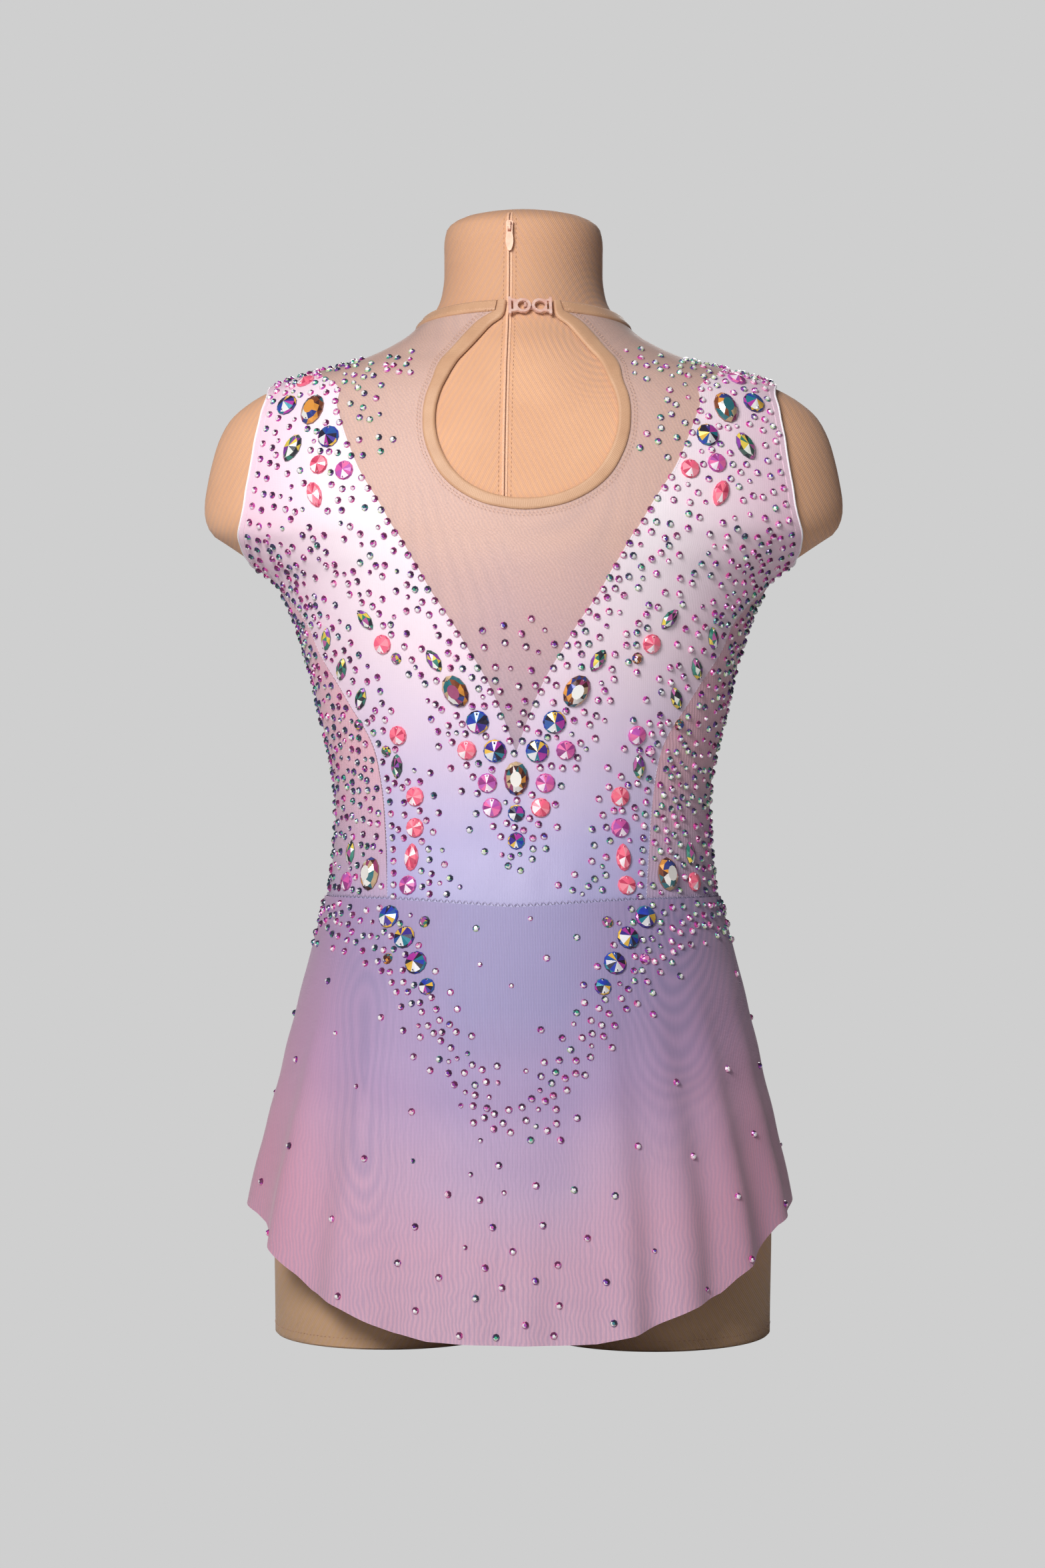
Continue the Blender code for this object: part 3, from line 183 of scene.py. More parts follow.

# %% [markdown]
# ## The flutes of the skirt
#
# A half-circle skirt hangs in flutes. A cloth simulation makes handsome ones, but not the ones in the
# photograph, and they would leave their solids. So each flute is a ridge with its own angle, width and
# height, listed here, which grows towards the hem. Smaller ripples and the drag lines over the hips come
# on top of it.

# %% Surfaces that cloth lies on
FLUTES = (
    # angle from the centre back, width to its left, width to its right, height at the hem
    (-78.0, 7.0, 6.0, 6.0),
    (-57.0, 4.0, 8.0, 10.0),
    (-36.0, 5.0, 8.0, 8.0),
    (-20.0, 6.0, 6.0, -3.0),
    (23.0, 7.0, 4.0, 7.5),
    (37.0, 7.0, 4.5, 9.5),
    (52.0, 7.0, 4.0, 10.0),
    (70.0, 6.0, 4.5, 8.0),
    (112.0, 6.0, 6.0, 6.0),
    (136.0, 6.0, 6.0, 6.5),
    (160.0, 6.0, 6.0, 6.0),
    (184.0, 6.0, 6.0, 5.5),
    (208.0, 6.0, 6.0, 6.5),
    (232.0, 6.0, 6.0, 6.0),
    (254.0, 6.0, 6.0, 6.0),
)
FLUTE_TOP = 232.0          # height where the first flute starts to show


def flute(u, z):
    degrees = (np.degrees(u) + 100.0) % 360.0 - 100.0
    depth = np.clip((FLUTE_TOP - z) / 200.0, 0.0, 1.3) ** 1.3
    out = np.zeros_like(degrees)
    for angle, left, right, height in FLUTES:
        off = degrees - angle
        out += height * np.exp(-(off / np.where(off < 0, left, right)) ** 2)
    ripple = 0.9 * np.sin(np.radians(degrees) * 34.0) * np.clip((120.0 - z) / 110.0, 0.0, 1.0) ** 2
    drag = 0.35 * np.sin(z * 0.16 + 1.4 * np.cos(u * 2.0)) * np.exp(-((z - 165.0) / 55.0) ** 2)
    soft = 0.5 * np.sin(np.radians(degrees) * 13.0 + z * 0.011) * np.clip((200.0 - z) / 150.0, 0.0, 1.0)
    return out * depth + ripple + drag + soft


def with_normal(place, u, v, top):
    e, g = 0.004, 0.6
    lo, hi = np.maximum(v - g, 0.0), np.minimum(v + g, top)
    n = np.cross(place(u + e, v) - place(u - e, v), place(u, hi) - place(u, lo))
    return place(u, v), n / np.linalg.norm(n, axis=-1, keepdims=True)


def on_torso(u, v):
    u, v = np.asarray(u, float), np.asarray(v, float)
    return with_normal(torso.point, u, v, torso.v[-1])


def skirt_plain(u, v):
    return with_normal(skirt.point, u, v, skirt.v[-1])


def skirt_place(u, v):
    p, n = skirt_plain(u, v)
    return p + n * flute(u, p[..., 2])[..., None]


def on_skirt(u, v):
    return with_normal(skirt_place, np.asarray(u, float), np.asarray(v, float), skirt.v[-1])


def lift(surface, u, v, height):
    """Points in metres, a height in millimetres over a surface."""
    p, n = surface(u, v)
    p = p + n * np.asarray(height, float)[..., None]
    p[..., 1] += MOVED_Y
    return p * MM


def back(x, z, sections=None):
    """A point named by its x and z as seen from the back, as (angle, v)."""
    sections = sections or torso
    v = float(sections.v_at(z))
    width = float(sections.at(v)[1])
    return math.asin(max(-1.0, min(1.0, x / width))), v


def turned(point):
    return math.pi - point[0], point[1]


print("flutes:", len(FLUTES))

# %% [markdown]
# ## Seam lines
#
# A pattern cutter draws seam lines on the body and cuts each piece between them. The lines are drawn here
# in the same way, by a few measured points in millimetres from the centre line, and a smooth line runs
# through the points. Left and right share one line, so both sides match.

# %% Measured seam lines
CENTRE_X = 0.6             # the V and the skirt
KEYHOLE_X = 6.5            # the keyhole and its clasp are drawn a little to the right by the closed neck
ZIP_X = -5.8
V_EDGE = (
    # x from the centre line, z
    (113.0, 578.0), (108.0, 561.0), (94.0, 524.5), (74.0, 491.0), (54.4, 459.0), (32.3, 424.0),
    (13.8, 391.5), (0.0, 355.0),
)
V_SHOULDER = 591.6
STRAP_SHOULDER = 580.3
ARMHOLE = (
    # x, z on the back
    (154.2, 573.0), (156.5, 560.0), (160.0, 540.0), (163.5, 518.0), (167.0, 498.0), (170.0, 484.0),
    (166.5, 474.6),
)
ARMHOLE_FRONT = (
    # x, z on the front
    (153.6, 573.0), (153.6, 560.0), (153.5, 540.0), (155.0, 518.0), (160.0, 498.0), (167.0, 484.0),
    (166.5, 474.6),
)
UNDERARM = 471.4
PRINCESS = (
    # x from the centre line, z: the seam between the back and the side panel
    (156.0, 464.0), (140.0, 449.0), (128.0, 434.0), (119.5, 415.0), (101.5, 386.0), (87.0, 362.0),
    (80.6, 334.0), (78.4, 310.0), (77.4, 292.0),
)
PRINCESS_FRONT = (
    (157.0, 464.0), (143.0, 449.0), (131.0, 430.0), (119.0, 405.0), (103.0, 375.0), (90.0, 345.0),
    (85.0, 318.0), (84.6, 292.0),
)
WAIST = ((0.0, 263.5), (26.0, 266.6), (40.0, 267.6), (90.0, 268.0), (140.0, 266.6), (180.0, 265.6))
LEG_BACK = ((90.0, 165.0), (70.0, 141.0), (50.0, 119.0), (30.0, 97.0), (15.0, 81.0))
LEG_FRONT = ((90.0, 165.0), (110.0, 151.0), (130.0, 130.0), (150.0, 105.0), (165.0, 84.0))
FRONT_V = ((118.0, 572.0), (100.0, 545.0), (70.0, 515.0), (35.0, 494.0))
KEYHOLE = (
    # half width at the outer edge of its binding, z there, half width inside, z there
    (22.3, 620.0, 15.6, 617.6), (34.3, 611.0, 24.8, 609.6), (47.0, 595.7, 37.0, 595.0),
    (56.0, 580.0, 46.2, 581.6), (60.4, 567.0, 51.8, 569.0), (61.8, 555.5, 54.1, 557.4),
    (60.9, 543.0, 53.5, 546.0), (57.3, 531.5, 50.2, 535.0), (50.2, 519.0, 43.6, 523.6),
    (38.9, 508.8, 34.2, 514.6), (25.0, 501.8, 22.0, 508.4), (10.0, 498.5, 9.4, 505.3),
    (0.0, 497.7, 0.0, 504.8),
)
BINDING_END = 20.2
CLASP_END = 13.6
NECK_BACK, NECK_FRONT, NECK_BAND = 620.8, 609.0, 7.2
HEM = (
    # angle from the centre back, height of the skirt's hem
    (0.0, 9.5), (10.0, 9.8), (17.0, 10.6), (24.5, 15.2), (29.5, 20.6), (36.0, 28.4), (45.0, 36.4),
    (49.0, 44.6), (54.0, 52.0), (58.0, 58.0), (62.0, 64.5), (66.0, 71.0), (72.0, 75.6), (80.0, 79.2),
    (90.0, 83.0), (110.0, 93.0), (135.0, 102.0), (180.0, 108.0),
)
RIDGE = math.pi / 2        # the angle of the shoulder ridge and the side
print("measured places:", len(V_EDGE) + len(ARMHOLE) + len(PRINCESS) + len(KEYHOLE) + len(HEM))

# %% [markdown]
# ## From places to lines
#
# A few places make a polygon with corners. A Catmull-Rom curve goes through every one of them without a
# corner, and is then cut into equal steps of three millimetres, so that two pieces that share a seam also
# share its points.

# %% Draw the seam lines
ROUND = 110.0              # millimetres of cloth in one radian round the body, near enough for spacing
STEP = 3.0                 # millimetres between two points of a seam line


def along(points, step, surface=on_torso):
    """A smooth line through points, cut into equal steps on the body."""
    points = np.array(points, float)
    ends = np.vstack([2 * points[0] - points[1], points, 2 * points[-1] - points[-2]])
    fine = []
    for i in range(1, len(ends) - 2):
        a, b, c, d = ends[i - 1:i + 3]
        for t in np.linspace(0, 1, 24, endpoint=False):
            fine.append(0.5 * (2 * b + (c - a) * t + (2 * a - 5 * b + 4 * c - d) * t * t
                               + (3 * b - a - 3 * c + d) * t**3))
    fine = np.array(fine + [points[-1]])
    spots = surface(fine[:, 0], fine[:, 1])[0]
    run = np.concatenate([[0.0], np.cumsum(np.linalg.norm(np.diff(spots, axis=0), axis=1))])
    count = max(2, int(round(run[-1] / step)) + 1)
    s = np.linspace(0, run[-1], count)
    angles, lengths = np.interp(s, run, fine[:, 0]), np.interp(s, run, fine[:, 1])
    return [(float(a), float(b)) for a, b in zip(angles, lengths)]


def join(*lines):
    """One closed outline from lines that meet end to end."""
    whole = []
    for line in lines:
        for p in line:
            if not whole or math.hypot((p[0] - whole[-1][0]) * ROUND, p[1] - whole[-1][1]) > 0.05:
                whole.append(p)
    if math.hypot((whole[0][0] - whole[-1][0]) * ROUND, whole[0][1] - whole[-1][1]) < 0.05:
        whole.pop()
    return whole


def mirrored(line, middle=0.0):
    return [(2 * middle - u, v) for u, v in line]


def neck(u, band=0.0):
    z = (NECK_BACK + NECK_FRONT) / 2 + (NECK_BACK - NECK_FRONT) / 2 * math.cos(u) + band
    return u, float(torso.v_at(z))


def table(rows, u):
    degrees = abs((math.degrees(u) + 180.0) % 360.0 - 180.0)
    return float(np.interp(degrees, [r[0] for r in rows], [r[1] for r in rows]))


def level(rows, start, end, count, sections):
    return [(u, float(sections.v_at(table(rows, u)))) for u in np.linspace(start, end, count)]


def on_waist(start, end):
    return level(WAIST, start, end, max(3, int(abs(end - start) * ROUND / STEP)), torso)


v_top = (RIDGE, float(torso.v_at(V_SHOULDER)))
strap = (RIDGE, float(torso.v_at(STRAP_SHOULDER)))
underarm = (RIDGE, float(torso.v_at(UNDERARM)))
arm_foot = back(*ARMHOLE[-1])
waist_u = back(76.6, table(WAIST, rad(41.0)))[0]
LINES = {}
for side, tag in ((-1, "left"), (1, "right")):
    ridge = side * RIDGE
    v_line = [(ridge, v_top[1])] + [back(CENTRE_X + side * x, z) for x, z in V_EDGE[:-1]]
    LINES["v_" + tag] = along(v_line + [back(CENTRE_X, V_EDGE[-1][1])], STEP)
    LINES["arm_" + tag] = along([(ridge, strap[1])] + [back(side * x, z) for x, z in ARMHOLE], STEP)
    foot = (side * arm_foot[0], arm_foot[1])
    LINES["under_" + tag] = along([foot, (ridge, underarm[1])], STEP)
    seam = [foot] + [back(CENTRE_X * 0.5 + side * x, z) for x, z in PRINCESS]
    seam_foot = (side * waist_u, float(torso.v_at(table(WAIST, waist_u))))
    LINES["princess_" + tag] = along(seam + [seam_foot], STEP)
    LINES["strap_" + tag] = along([(ridge, v_top[1]), (ridge, strap[1])], STEP)
    LINES["shoulder_" + tag] = along([neck(ridge), (ridge, v_top[1])], STEP)
    key_u = back(KEYHOLE_X + side * BINDING_END, NECK_BACK - 0.2)[0]
    LINES["neck_" + tag] = along([neck(key_u), neck((key_u + ridge) / 2), neck(ridge)], STEP)
    outer = [back(KEYHOLE_X + side * w, z) for w, z, _, _ in KEYHOLE]
    inner = [back(KEYHOLE_X + side * w, z) for _, _, w, z in KEYHOLE]
    LINES["key_out_" + tag] = along([neck(key_u)] + outer, STEP)
    free = back(KEYHOLE_X + side * CLASP_END, NECK_BACK + NECK_BAND - 0.8)
    LINES["key_in_" + tag] = along([free] + inner, STEP)
front_foot = turned(arm_foot)
front_waist = rad(132.0)
LINES["front_arm"] = along([(RIDGE, strap[1])] + [turned(back(x, z)) for x, z in ARMHOLE_FRONT], STEP)
LINES["front_under"] = along([front_foot, (RIDGE, underarm[1])], STEP)
LINES["front_seam"] = along([front_foot] + [turned(back(x, z)) for x, z in PRINCESS_FRONT]
                            + [(front_waist, float(torso.v_at(table(WAIST, front_waist))))], STEP)
LINES["front_v"] = along([(RIDGE, v_top[1])] + [turned(back(x, z)) for x, z in FRONT_V]
                         + [(math.pi, float(torso.v_at(488.0)))], STEP)
LINES["front_neck"] = along([neck(RIDGE), neck(rad(135.0)), neck(math.pi)], STEP)
print("seam lines:", len(LINES), "points:", sum(len(line) for line in LINES.values()))

# %% [markdown]
# ## How one piece of cloth is cut
#
# A sheet of cloth on a body could be a grid pushed onto it, but its edges would then be ragged. Here the
# outline is drawn flat first, with points spread inside it, and a constrained Delaunay triangulation joins
# them, so every edge stays clean. The same points are then laid on the body twice, for the two faces of the
# cloth, and a rim closes them. Each point keeps its true distances along the cloth as a UV map named
# "cloth", in metres, so that a weave has its real size.

# %% Cloth cutter
ROW_SHARE = 0.866          # rows of points stand this far apart, as in a sheet of even triangles
RIM_SHARE = 0.45           # no point comes nearer to the outline than this part of a cell


def inside(polygon, points):
    x, y = points[:, 0], points[:, 1]
    found = np.zeros(len(points), bool)
    for (ax, ay), (bx, by) in zip(polygon, np.roll(polygon, -1, 0)):
        crosses = (ay > y) != (by > y)
        where = ax + (y - ay) * (bx - ax) / (by - ay if by != ay else 1e-12)
        found ^= crosses & (x < where)
    return found


def signed(polygon):
    following = np.roll(polygon, -1, 0)
    return 0.5 * float(np.sum(polygon[:, 0] * following[:, 1] - following[:, 0] * polygon[:, 1]))


def arc(surface, u, v, steps=24):
    """Length round the body from the centre back to each point, in millimetres."""
    total = np.zeros(len(u))
    before = surface(np.zeros(len(u)), v)[0]
    for i in range(1, steps + 1):
        here = surface(u * i / steps, v)[0]
        total += np.linalg.norm(here - before, axis=-1)
        before = here
    return total * np.sign(u)


def new_piece(name, points, faces, material, smooth=True):
    mesh = bpy.data.meshes.new(name)
    mesh.from_pydata([tuple(p) for p in points], [], [tuple(int(i) for i in f) for f in faces])
    mesh.update()
    mesh.polygons.foreach_set("use_smooth", [smooth] * len(mesh.polygons))
    piece = bpy.data.objects.new(name, mesh)
    bpy.context.scene.collection.objects.link(piece)
    mesh.materials.append(material)
    return piece


def sharpen(piece, degrees=40.0):
    """Keeps the cloth's cut edges crisp where the faces turn sharply."""
    piece.data.set_sharp_from_angle(angle=rad(degrees))


def cut_cloth(name, outline, surface, low, high, material, cell=4.0, relief=None):
    """A shell of cloth inside an outline, from low to high over a surface, in cells of a size."""
    outline = np.array(outline)
    flat_outline = np.stack([outline[:, 0] * ROUND, outline[:, 1]], -1)
    x0, y0 = flat_outline.min(0)
    x1, y1 = flat_outline.max(0)
    spots = []
    for k, y in enumerate(np.arange(y0 + cell / 2, y1, cell * ROW_SHARE)):
        shift = cell / 2 if k % 2 else 0.0
        spots += [(x, y) for x in np.arange(x0 + shift, x1, cell)]
    spots = np.array(spots)
    spots = spots[inside(flat_outline, spots)]
    near = np.full(len(spots), 1e9)
    for start in range(0, len(flat_outline), 64):
        part = flat_outline[start:start + 64]
        near = np.minimum(near, np.linalg.norm(spots[:, None] - part[None], axis=2).min(1))
    spots = spots[near > cell * RIM_SHARE]
    flat = np.concatenate([flat_outline, spots])
    found = geometry.delaunay_2d_cdt([Vector(p) for p in flat], [], [list(range(len(outline)))], 1, 1e-5)
    place = np.array([tuple(p) for p in found[0]])
    u, v = place[:, 0] / ROUND, place[:, 1]
    where = {source: i for i, sources in enumerate(found[3]) for source in sources}
    rim = [where[i] for i in range(len(outline))]
    if signed(flat_outline) < 0:
        rim = rim[::-1]
    raised = relief(u, v) if relief is not None else np.zeros(len(u))
    under = lift(surface, u, v, low + raised)
    over = lift(surface, u, v, high + raised)
    tris = [tuple(f) for f in found[2] if len(f) == 3]
    count = len(u)
    faces = [(c, b, a) for a, b, c in tris] + [(a + count, b + count, c + count) for a, b, c in tris]
    for i in range(len(rim)):
        k = (i + 1) % len(rim)
        faces.append((rim[i], rim[k], rim[k] + count, rim[i] + count))
    piece = new_piece(name, np.concatenate([under, over]), faces, material)
    length = np.stack([arc(surface, u, v), v], -1) * MM
    both = np.concatenate([length, length])
    corners = np.zeros(len(piece.data.loops), np.int32)
    piece.data.loops.foreach_get("vertex_index", corners)
    layer = piece.data.uv_layers.new(name="cloth")
    layer.data.foreach_set("uv", both[corners].astype(np.float32).ravel())
    sharpen(piece)
    a, b, c = (over[[t[k] for t in tris]] for k in range(3))
    piece["cloth_area"] = float(np.linalg.norm(np.cross(b - a, c - a), axis=1).sum() / 2)
    piece["cloth_wide"] = float(np.ptp(length[:, 0]))
    piece["cloth_long"] = float(np.ptp(length[:, 1]))
    return piece


def declare(piece, node):
    """Rides a cut piece on the form's body and hides the solid that it stands for."""
    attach(piece, BODY)
    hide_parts(node)


# %% [markdown]
# ## Shared effects
#
# Four effects turn up in more than one finish, so each is a node group with its own inputs. Knit lines are
# the fine ribs and rows of a knitted mesh. The watered look is the slow banding that shows where two fine
# meshes lie over each other. Nested bands are the same play of light where the mesh curves, so that the
# bands close into arches or rings about one place. Grain is a soft unevenness of dye and surface. The
# groups give out only masks and heights, and each material decides what to do with them. Two helpers come
# first, because a Math node and a new group are needed many times.

# %% Node helpers
TURN = 2 * math.pi


def node(tree, kind, **settings):
    made = tree.nodes.new(kind)
    for name, value in settings.items():
        setattr(made, name, value)
    return made


def sum_of(tree, operation, first, second=None, third=None):
    """A Math node whose inputs are sockets or numbers."""
    made = node(tree, "ShaderNodeMath", operation=operation)
    for socket, value in zip(made.inputs, (first, second, third)):
        if value is None:
            continue
        if isinstance(value, bpy.types.NodeSocket):
            tree.links.new(value, socket)
        else:
            socket.default_value = value
    return made.outputs[0]


def new_group(name, inputs, outputs):
    group = bpy.data.node_groups.new(name, "ShaderNodeTree")
    for label, value in inputs:
        kind = "NodeSocketVector" if value is None else "NodeSocketFloat"
        socket = group.interface.new_socket(label, in_out="INPUT", socket_type=kind)
        if value is not None:
            socket.default_value = value
    for label in outputs:
        group.interface.new_socket(label, in_out="OUTPUT", socket_type="NodeSocketFloat")
    return group, node(group, "NodeGroupInput"), node(group, "NodeGroupOutput")


def product(tree, first, second):
    return sum_of(tree, "MULTIPLY", first, second)


def wave_of(tree, length, per_metre):
    """A sine wave along a length, and how many of it fit in a metre."""
    return sum_of(tree, "SINE", product(tree, product(tree, length, per_metre), TURN))


def clamped(tree, value):
    return sum_of(tree, "MINIMUM", sum_of(tree, "MAXIMUM", value, 0.0), 1.0)


print("node helpers: ready")

# %% Group of knit lines
knit_lines, come, go = new_group("knit lines",
                                 [("Cloth", None), ("Ribs per metre", 1100.0), ("Rows per metre", 1500.0),
                                  ("Slant", 0.0), ("Wander", 0.0006)], ["Ribs", "Height"])
wander = node(knit_lines, "ShaderNodeTexNoise", noise_dimensions="2D")
wander.inputs["Scale"].default_value = 60.0
knit_lines.links.new(come.outputs["Cloth"], wander.inputs["Vector"])
split = node(knit_lines, "ShaderNodeSeparateXYZ")
knit_lines.links.new(come.outputs["Cloth"], split.inputs[0])
bend = product(knit_lines, sum_of(knit_lines, "SUBTRACT", wander.outputs["Fac"], 0.5), come.outputs["Wander"])
across = sum_of(knit_lines, "ADD", split.outputs[0], bend)
across = sum_of(knit_lines, "MULTIPLY_ADD", split.outputs[1], come.outputs["Slant"], across)
rib = wave_of(knit_lines, across, come.outputs["Ribs per metre"])
rib = sum_of(knit_lines, "MULTIPLY_ADD", rib, 0.5, 0.5)
row = wave_of(knit_lines, split.outputs[1], come.outputs["Rows per metre"])
row = sum_of(knit_lines, "MULTIPLY_ADD", row, 0.25, 0.75)
knit_lines.links.new(rib, go.inputs["Ribs"])
knit_lines.links.new(product(knit_lines, rib, row), go.inputs["Height"])
print("group:", knit_lines.name)

# %% Group of the watered look
watered, come, go = new_group("watered look", [("Cloth", None), ("Bands per metre", 150.0), ("Warp", 0.05),
                                               ("Spread", 9.0), ("Amount", 1.0)], ["Bands"])
drift = node(watered, "ShaderNodeTexNoise", noise_dimensions="2D")
drift.inputs["Detail"].default_value = 0.0
watered.links.new(come.outputs["Cloth"], drift.inputs["Vector"])
watered.links.new(come.outputs["Spread"], drift.inputs["Scale"])
split = node(watered, "ShaderNodeSeparateXYZ")
watered.links.new(come.outputs["Cloth"], split.inputs[0])
path = sum_of(watered, "MULTIPLY_ADD", drift.outputs["Fac"], come.outputs["Warp"],
              product(watered, sum_of(watered, "ABSOLUTE", split.outputs[0]), 0.6))
wave = wave_of(watered, path, come.outputs["Bands per metre"])
wave = sum_of(watered, "MULTIPLY_ADD", wave, 0.5, 0.5)
fade = node(watered, "ShaderNodeTexNoise", noise_dimensions="2D")
fade.inputs["Scale"].default_value = 13.0
watered.links.new(come.outputs["Cloth"], fade.inputs["Vector"])
hold = product(watered, sum_of(watered, "SUBTRACT", fade.outputs["Fac"], 0.36), 3.2)
hold = clamped(watered, hold)
wave = product(watered, sum_of(watered, "POWER", wave, 1.6), hold)
watered.links.new(product(watered, wave, come.outputs["Amount"]), go.inputs["Bands"])
print("group:", watered.name)

# %% Group of grain
grain, come, go = new_group("grain", [("Place", None), ("Scale", 30.0), ("Fine scale", 900.0)],
                            ["Cloudy", "Fine"])
for label, scale, detail in (("Cloudy", "Scale", 3.0), ("Fine", "Fine scale", 1.0)):
    cloud = node(grain, "ShaderNodeTexNoise")
    cloud.inputs["Detail"].default_value = detail
    grain.links.new(come.outputs["Place"], cloud.inputs["Vector"])
    grain.links.new(come.outputs[scale], cloud.inputs["Scale"])
    grain.links.new(cloud.outputs["Fac"], go.inputs[label])
print("group:", grain.name)

# %% Group of nested bands
nested, come, go = new_group("nested bands", [("Place", None), ("Centre x", 0.0), ("Centre z", 0.2),
                                              ("Squash", 0.25), ("Pitch", 0.004), ("Reach", 0.05)], ["Bands"])
split = node(nested, "ShaderNodeSeparateXYZ")
nested.links.new(come.outputs["Place"], split.inputs[0])
sway = node(nested, "ShaderNodeTexNoise")
sway.inputs["Scale"].default_value = 22.0
sway.inputs["Detail"].default_value = 0.0
nested.links.new(come.outputs["Place"], sway.inputs["Vector"])
dx = sum_of(nested, "SUBTRACT", split.outputs[0], come.outputs["Centre x"])
dz = sum_of(nested, "SUBTRACT", split.outputs[2], come.outputs["Centre z"])
dz = product(nested, dz, come.outputs["Squash"])
radius = sum_of(nested, "SQRT", sum_of(nested, "MULTIPLY_ADD", dx, dx, product(nested, dz, dz)))
radius = sum_of(nested, "MULTIPLY_ADD", sway.outputs["Fac"], 0.012, radius)
wave = sum_of(nested, "SINE", product(nested, sum_of(nested, "DIVIDE", radius, come.outputs["Pitch"]), TURN))
wave = sum_of(nested, "MULTIPLY_ADD", wave, 0.5, 0.5)
near = sum_of(nested, "SUBTRACT", 1.25, sum_of(nested, "DIVIDE", radius, come.outputs["Reach"]))
near = clamped(nested, near)
nested.links.new(product(nested, wave, near), go.inputs["Bands"])
print("group:", nested.name)

# %% [markdown]
# ## Colours and material starters
#
# Colours are named as a colour chart names them, in sRGB steps from 0 to 255, and turned into the linear
# values that shaders use. A ramp up the height of the garment gives the ombre dye: pearl at the shoulders,
# lavender at the waist and mauve at the hem.

# %% Helpers for materials
def tone(red, green, blue):
    """Linear colour from sRGB steps."""
    return tuple(((c / 255.0 + 0.055) / 1.055) ** 2.4 for c in (red, green, blue))


def start_material(name, roughness, **extra):
    material = bpy.data.materials.new(name)
    material.use_nodes = True
    tree = material.node_tree
    shader = tree.nodes["Principled BSDF"]
    shader.inputs["Roughness"].default_value = roughness
    for label, value in extra.items():
        shader.inputs[label.replace("_", " ")].default_value = value
    return material, tree, shader


def ramp(tree, factor, stops):
    made = node(tree, "ShaderNodeValToRGB")
    tree.links.new(factor, made.inputs[0])
    band = made.color_ramp
    band.elements[0].position = stops[0][0]
    band.elements[0].color = (*tone(*stops[0][1]), 1.0)
    band.elements[1].position = stops[-1][0]
    band.elements[1].color = (*tone(*stops[-1][1]), 1.0)
    for place, colour in stops[1:-1]:
        band.elements.new(place).color = (*tone(*colour), 1.0)
    return made.outputs[0]


def mix_colours(tree, factor, first, second, how="MIX"):
    made = node(tree, "ShaderNodeMix", data_type="RGBA", blend_type=how)
    for socket, value in ((made.inputs[0], factor), (made.inputs[6], first), (made.inputs[7], second)):
        if isinstance(value, bpy.types.NodeSocket):
            tree.links.new(value, socket)
        elif isinstance(value, tuple):
            socket.default_value = (*value, 1.0)
        else:
            socket.default_value = value
    return made.outputs[2]


def place_of(tree):
    """Where the surface is on the part, in metres: the vector, and its x, y and z."""
    spot = node(tree, "ShaderNodeTexCoord").outputs["Object"]
    parts = node(tree, "ShaderNodeSeparateXYZ")
    tree.links.new(spot, parts.inputs[0])
    return spot, parts.outputs


def span(tree, value, low, high):
    made = node(tree, "ShaderNodeMapRange")
    tree.links.new(value, made.inputs[0])
    made.inputs[1].default_value, made.inputs[2].default_value = low, high
    return made.outputs[0]


def use_group(tree, group, source, **values):
    made = node(tree, "ShaderNodeGroup", node_tree=group)
    tree.links.new(source, made.inputs[0])
    for label, value in values.items():
        made.inputs[label.replace("_", " ")].default_value = value
    return made.outputs


def bump(tree, shader, height, distance, strength=1.0):
    made = node(tree, "ShaderNodeBump")
    made.inputs["Strength"].default_value = strength
    made.inputs["Distance"].default_value = distance
    tree.links.new(height, made.inputs["Height"])
    tree.links.new(made.outputs[0], shader.inputs["Normal"])


def tint(tree, shade, mask, amount, colour):
    """A colour laid over a shade where a mask is bright, and never more than the amount."""
    return mix_colours(tree, product(tree, mask, amount), shade, tone(*colour))


def two_tone(tree, shader, mask, dark, light):
    """A base colour that drifts between two shades as the mask does."""
    tree.links.new(ramp(tree, mask, ((0.3, dark), (0.7, light))), shader.inputs["Base Color"])


def cloth_map(tree):
    return node(tree, "ShaderNodeUVMap", uv_map="cloth").outputs[0]


print("material helpers: ready")

# %% [markdown]
# ## The form's knitted cover
#
# The form is padded and pulled into a beige knitted sleeve. Slanting rib lines meet in a herringbone along
# the zip. They could be a texture, but waves along the height and away from the zip, mirrored there, give the
# same look at any size, with a finer wave of threads along them and a soft cloud that makes them waver.

# %% Beige cover material
COVER_RIB = 0.0037         # metres from one rib to the next
COVER_THREAD = 0.0011      # and from one thread to the next
cover, tree, shader = start_material("beige_knit_cover", 0.82, Sheen_Weight=0.12, Sheen_Roughness=0.5)
spot, (px, py, pz) = place_of(tree)
from_zip = sum_of(tree, "ABSOLUTE", sum_of(tree, "SUBTRACT", px, ZIP_X * MM))
slant = sum_of(tree, "MULTIPLY_ADD", pz, 0.55, from_zip)
soft = use_group(tree, grain, spot, Scale=22.0, Fine_scale=1400.0)
slant = sum_of(tree, "MULTIPLY_ADD", soft["Cloudy"], 0.006, slant)
rib = sum_of(tree, "SINE", product(tree, slant, TURN / COVER_RIB))
rib = sum_of(tree, "MULTIPLY_ADD", rib, 0.5, 0.5)
fine = sum_of(tree, "SINE", product(tree, slant, TURN / COVER_THREAD))
fine = sum_of(tree, "MULTIPLY_ADD", fine, 0.5, 0.5)
shade = ramp(tree, soft["Cloudy"], ((0.3, (222, 168, 128)), (0.7, (231, 178, 137))))
shade = tint(tree, shade, span(tree, pz, 0.595, 0.635), 0.6, (198, 150, 114))
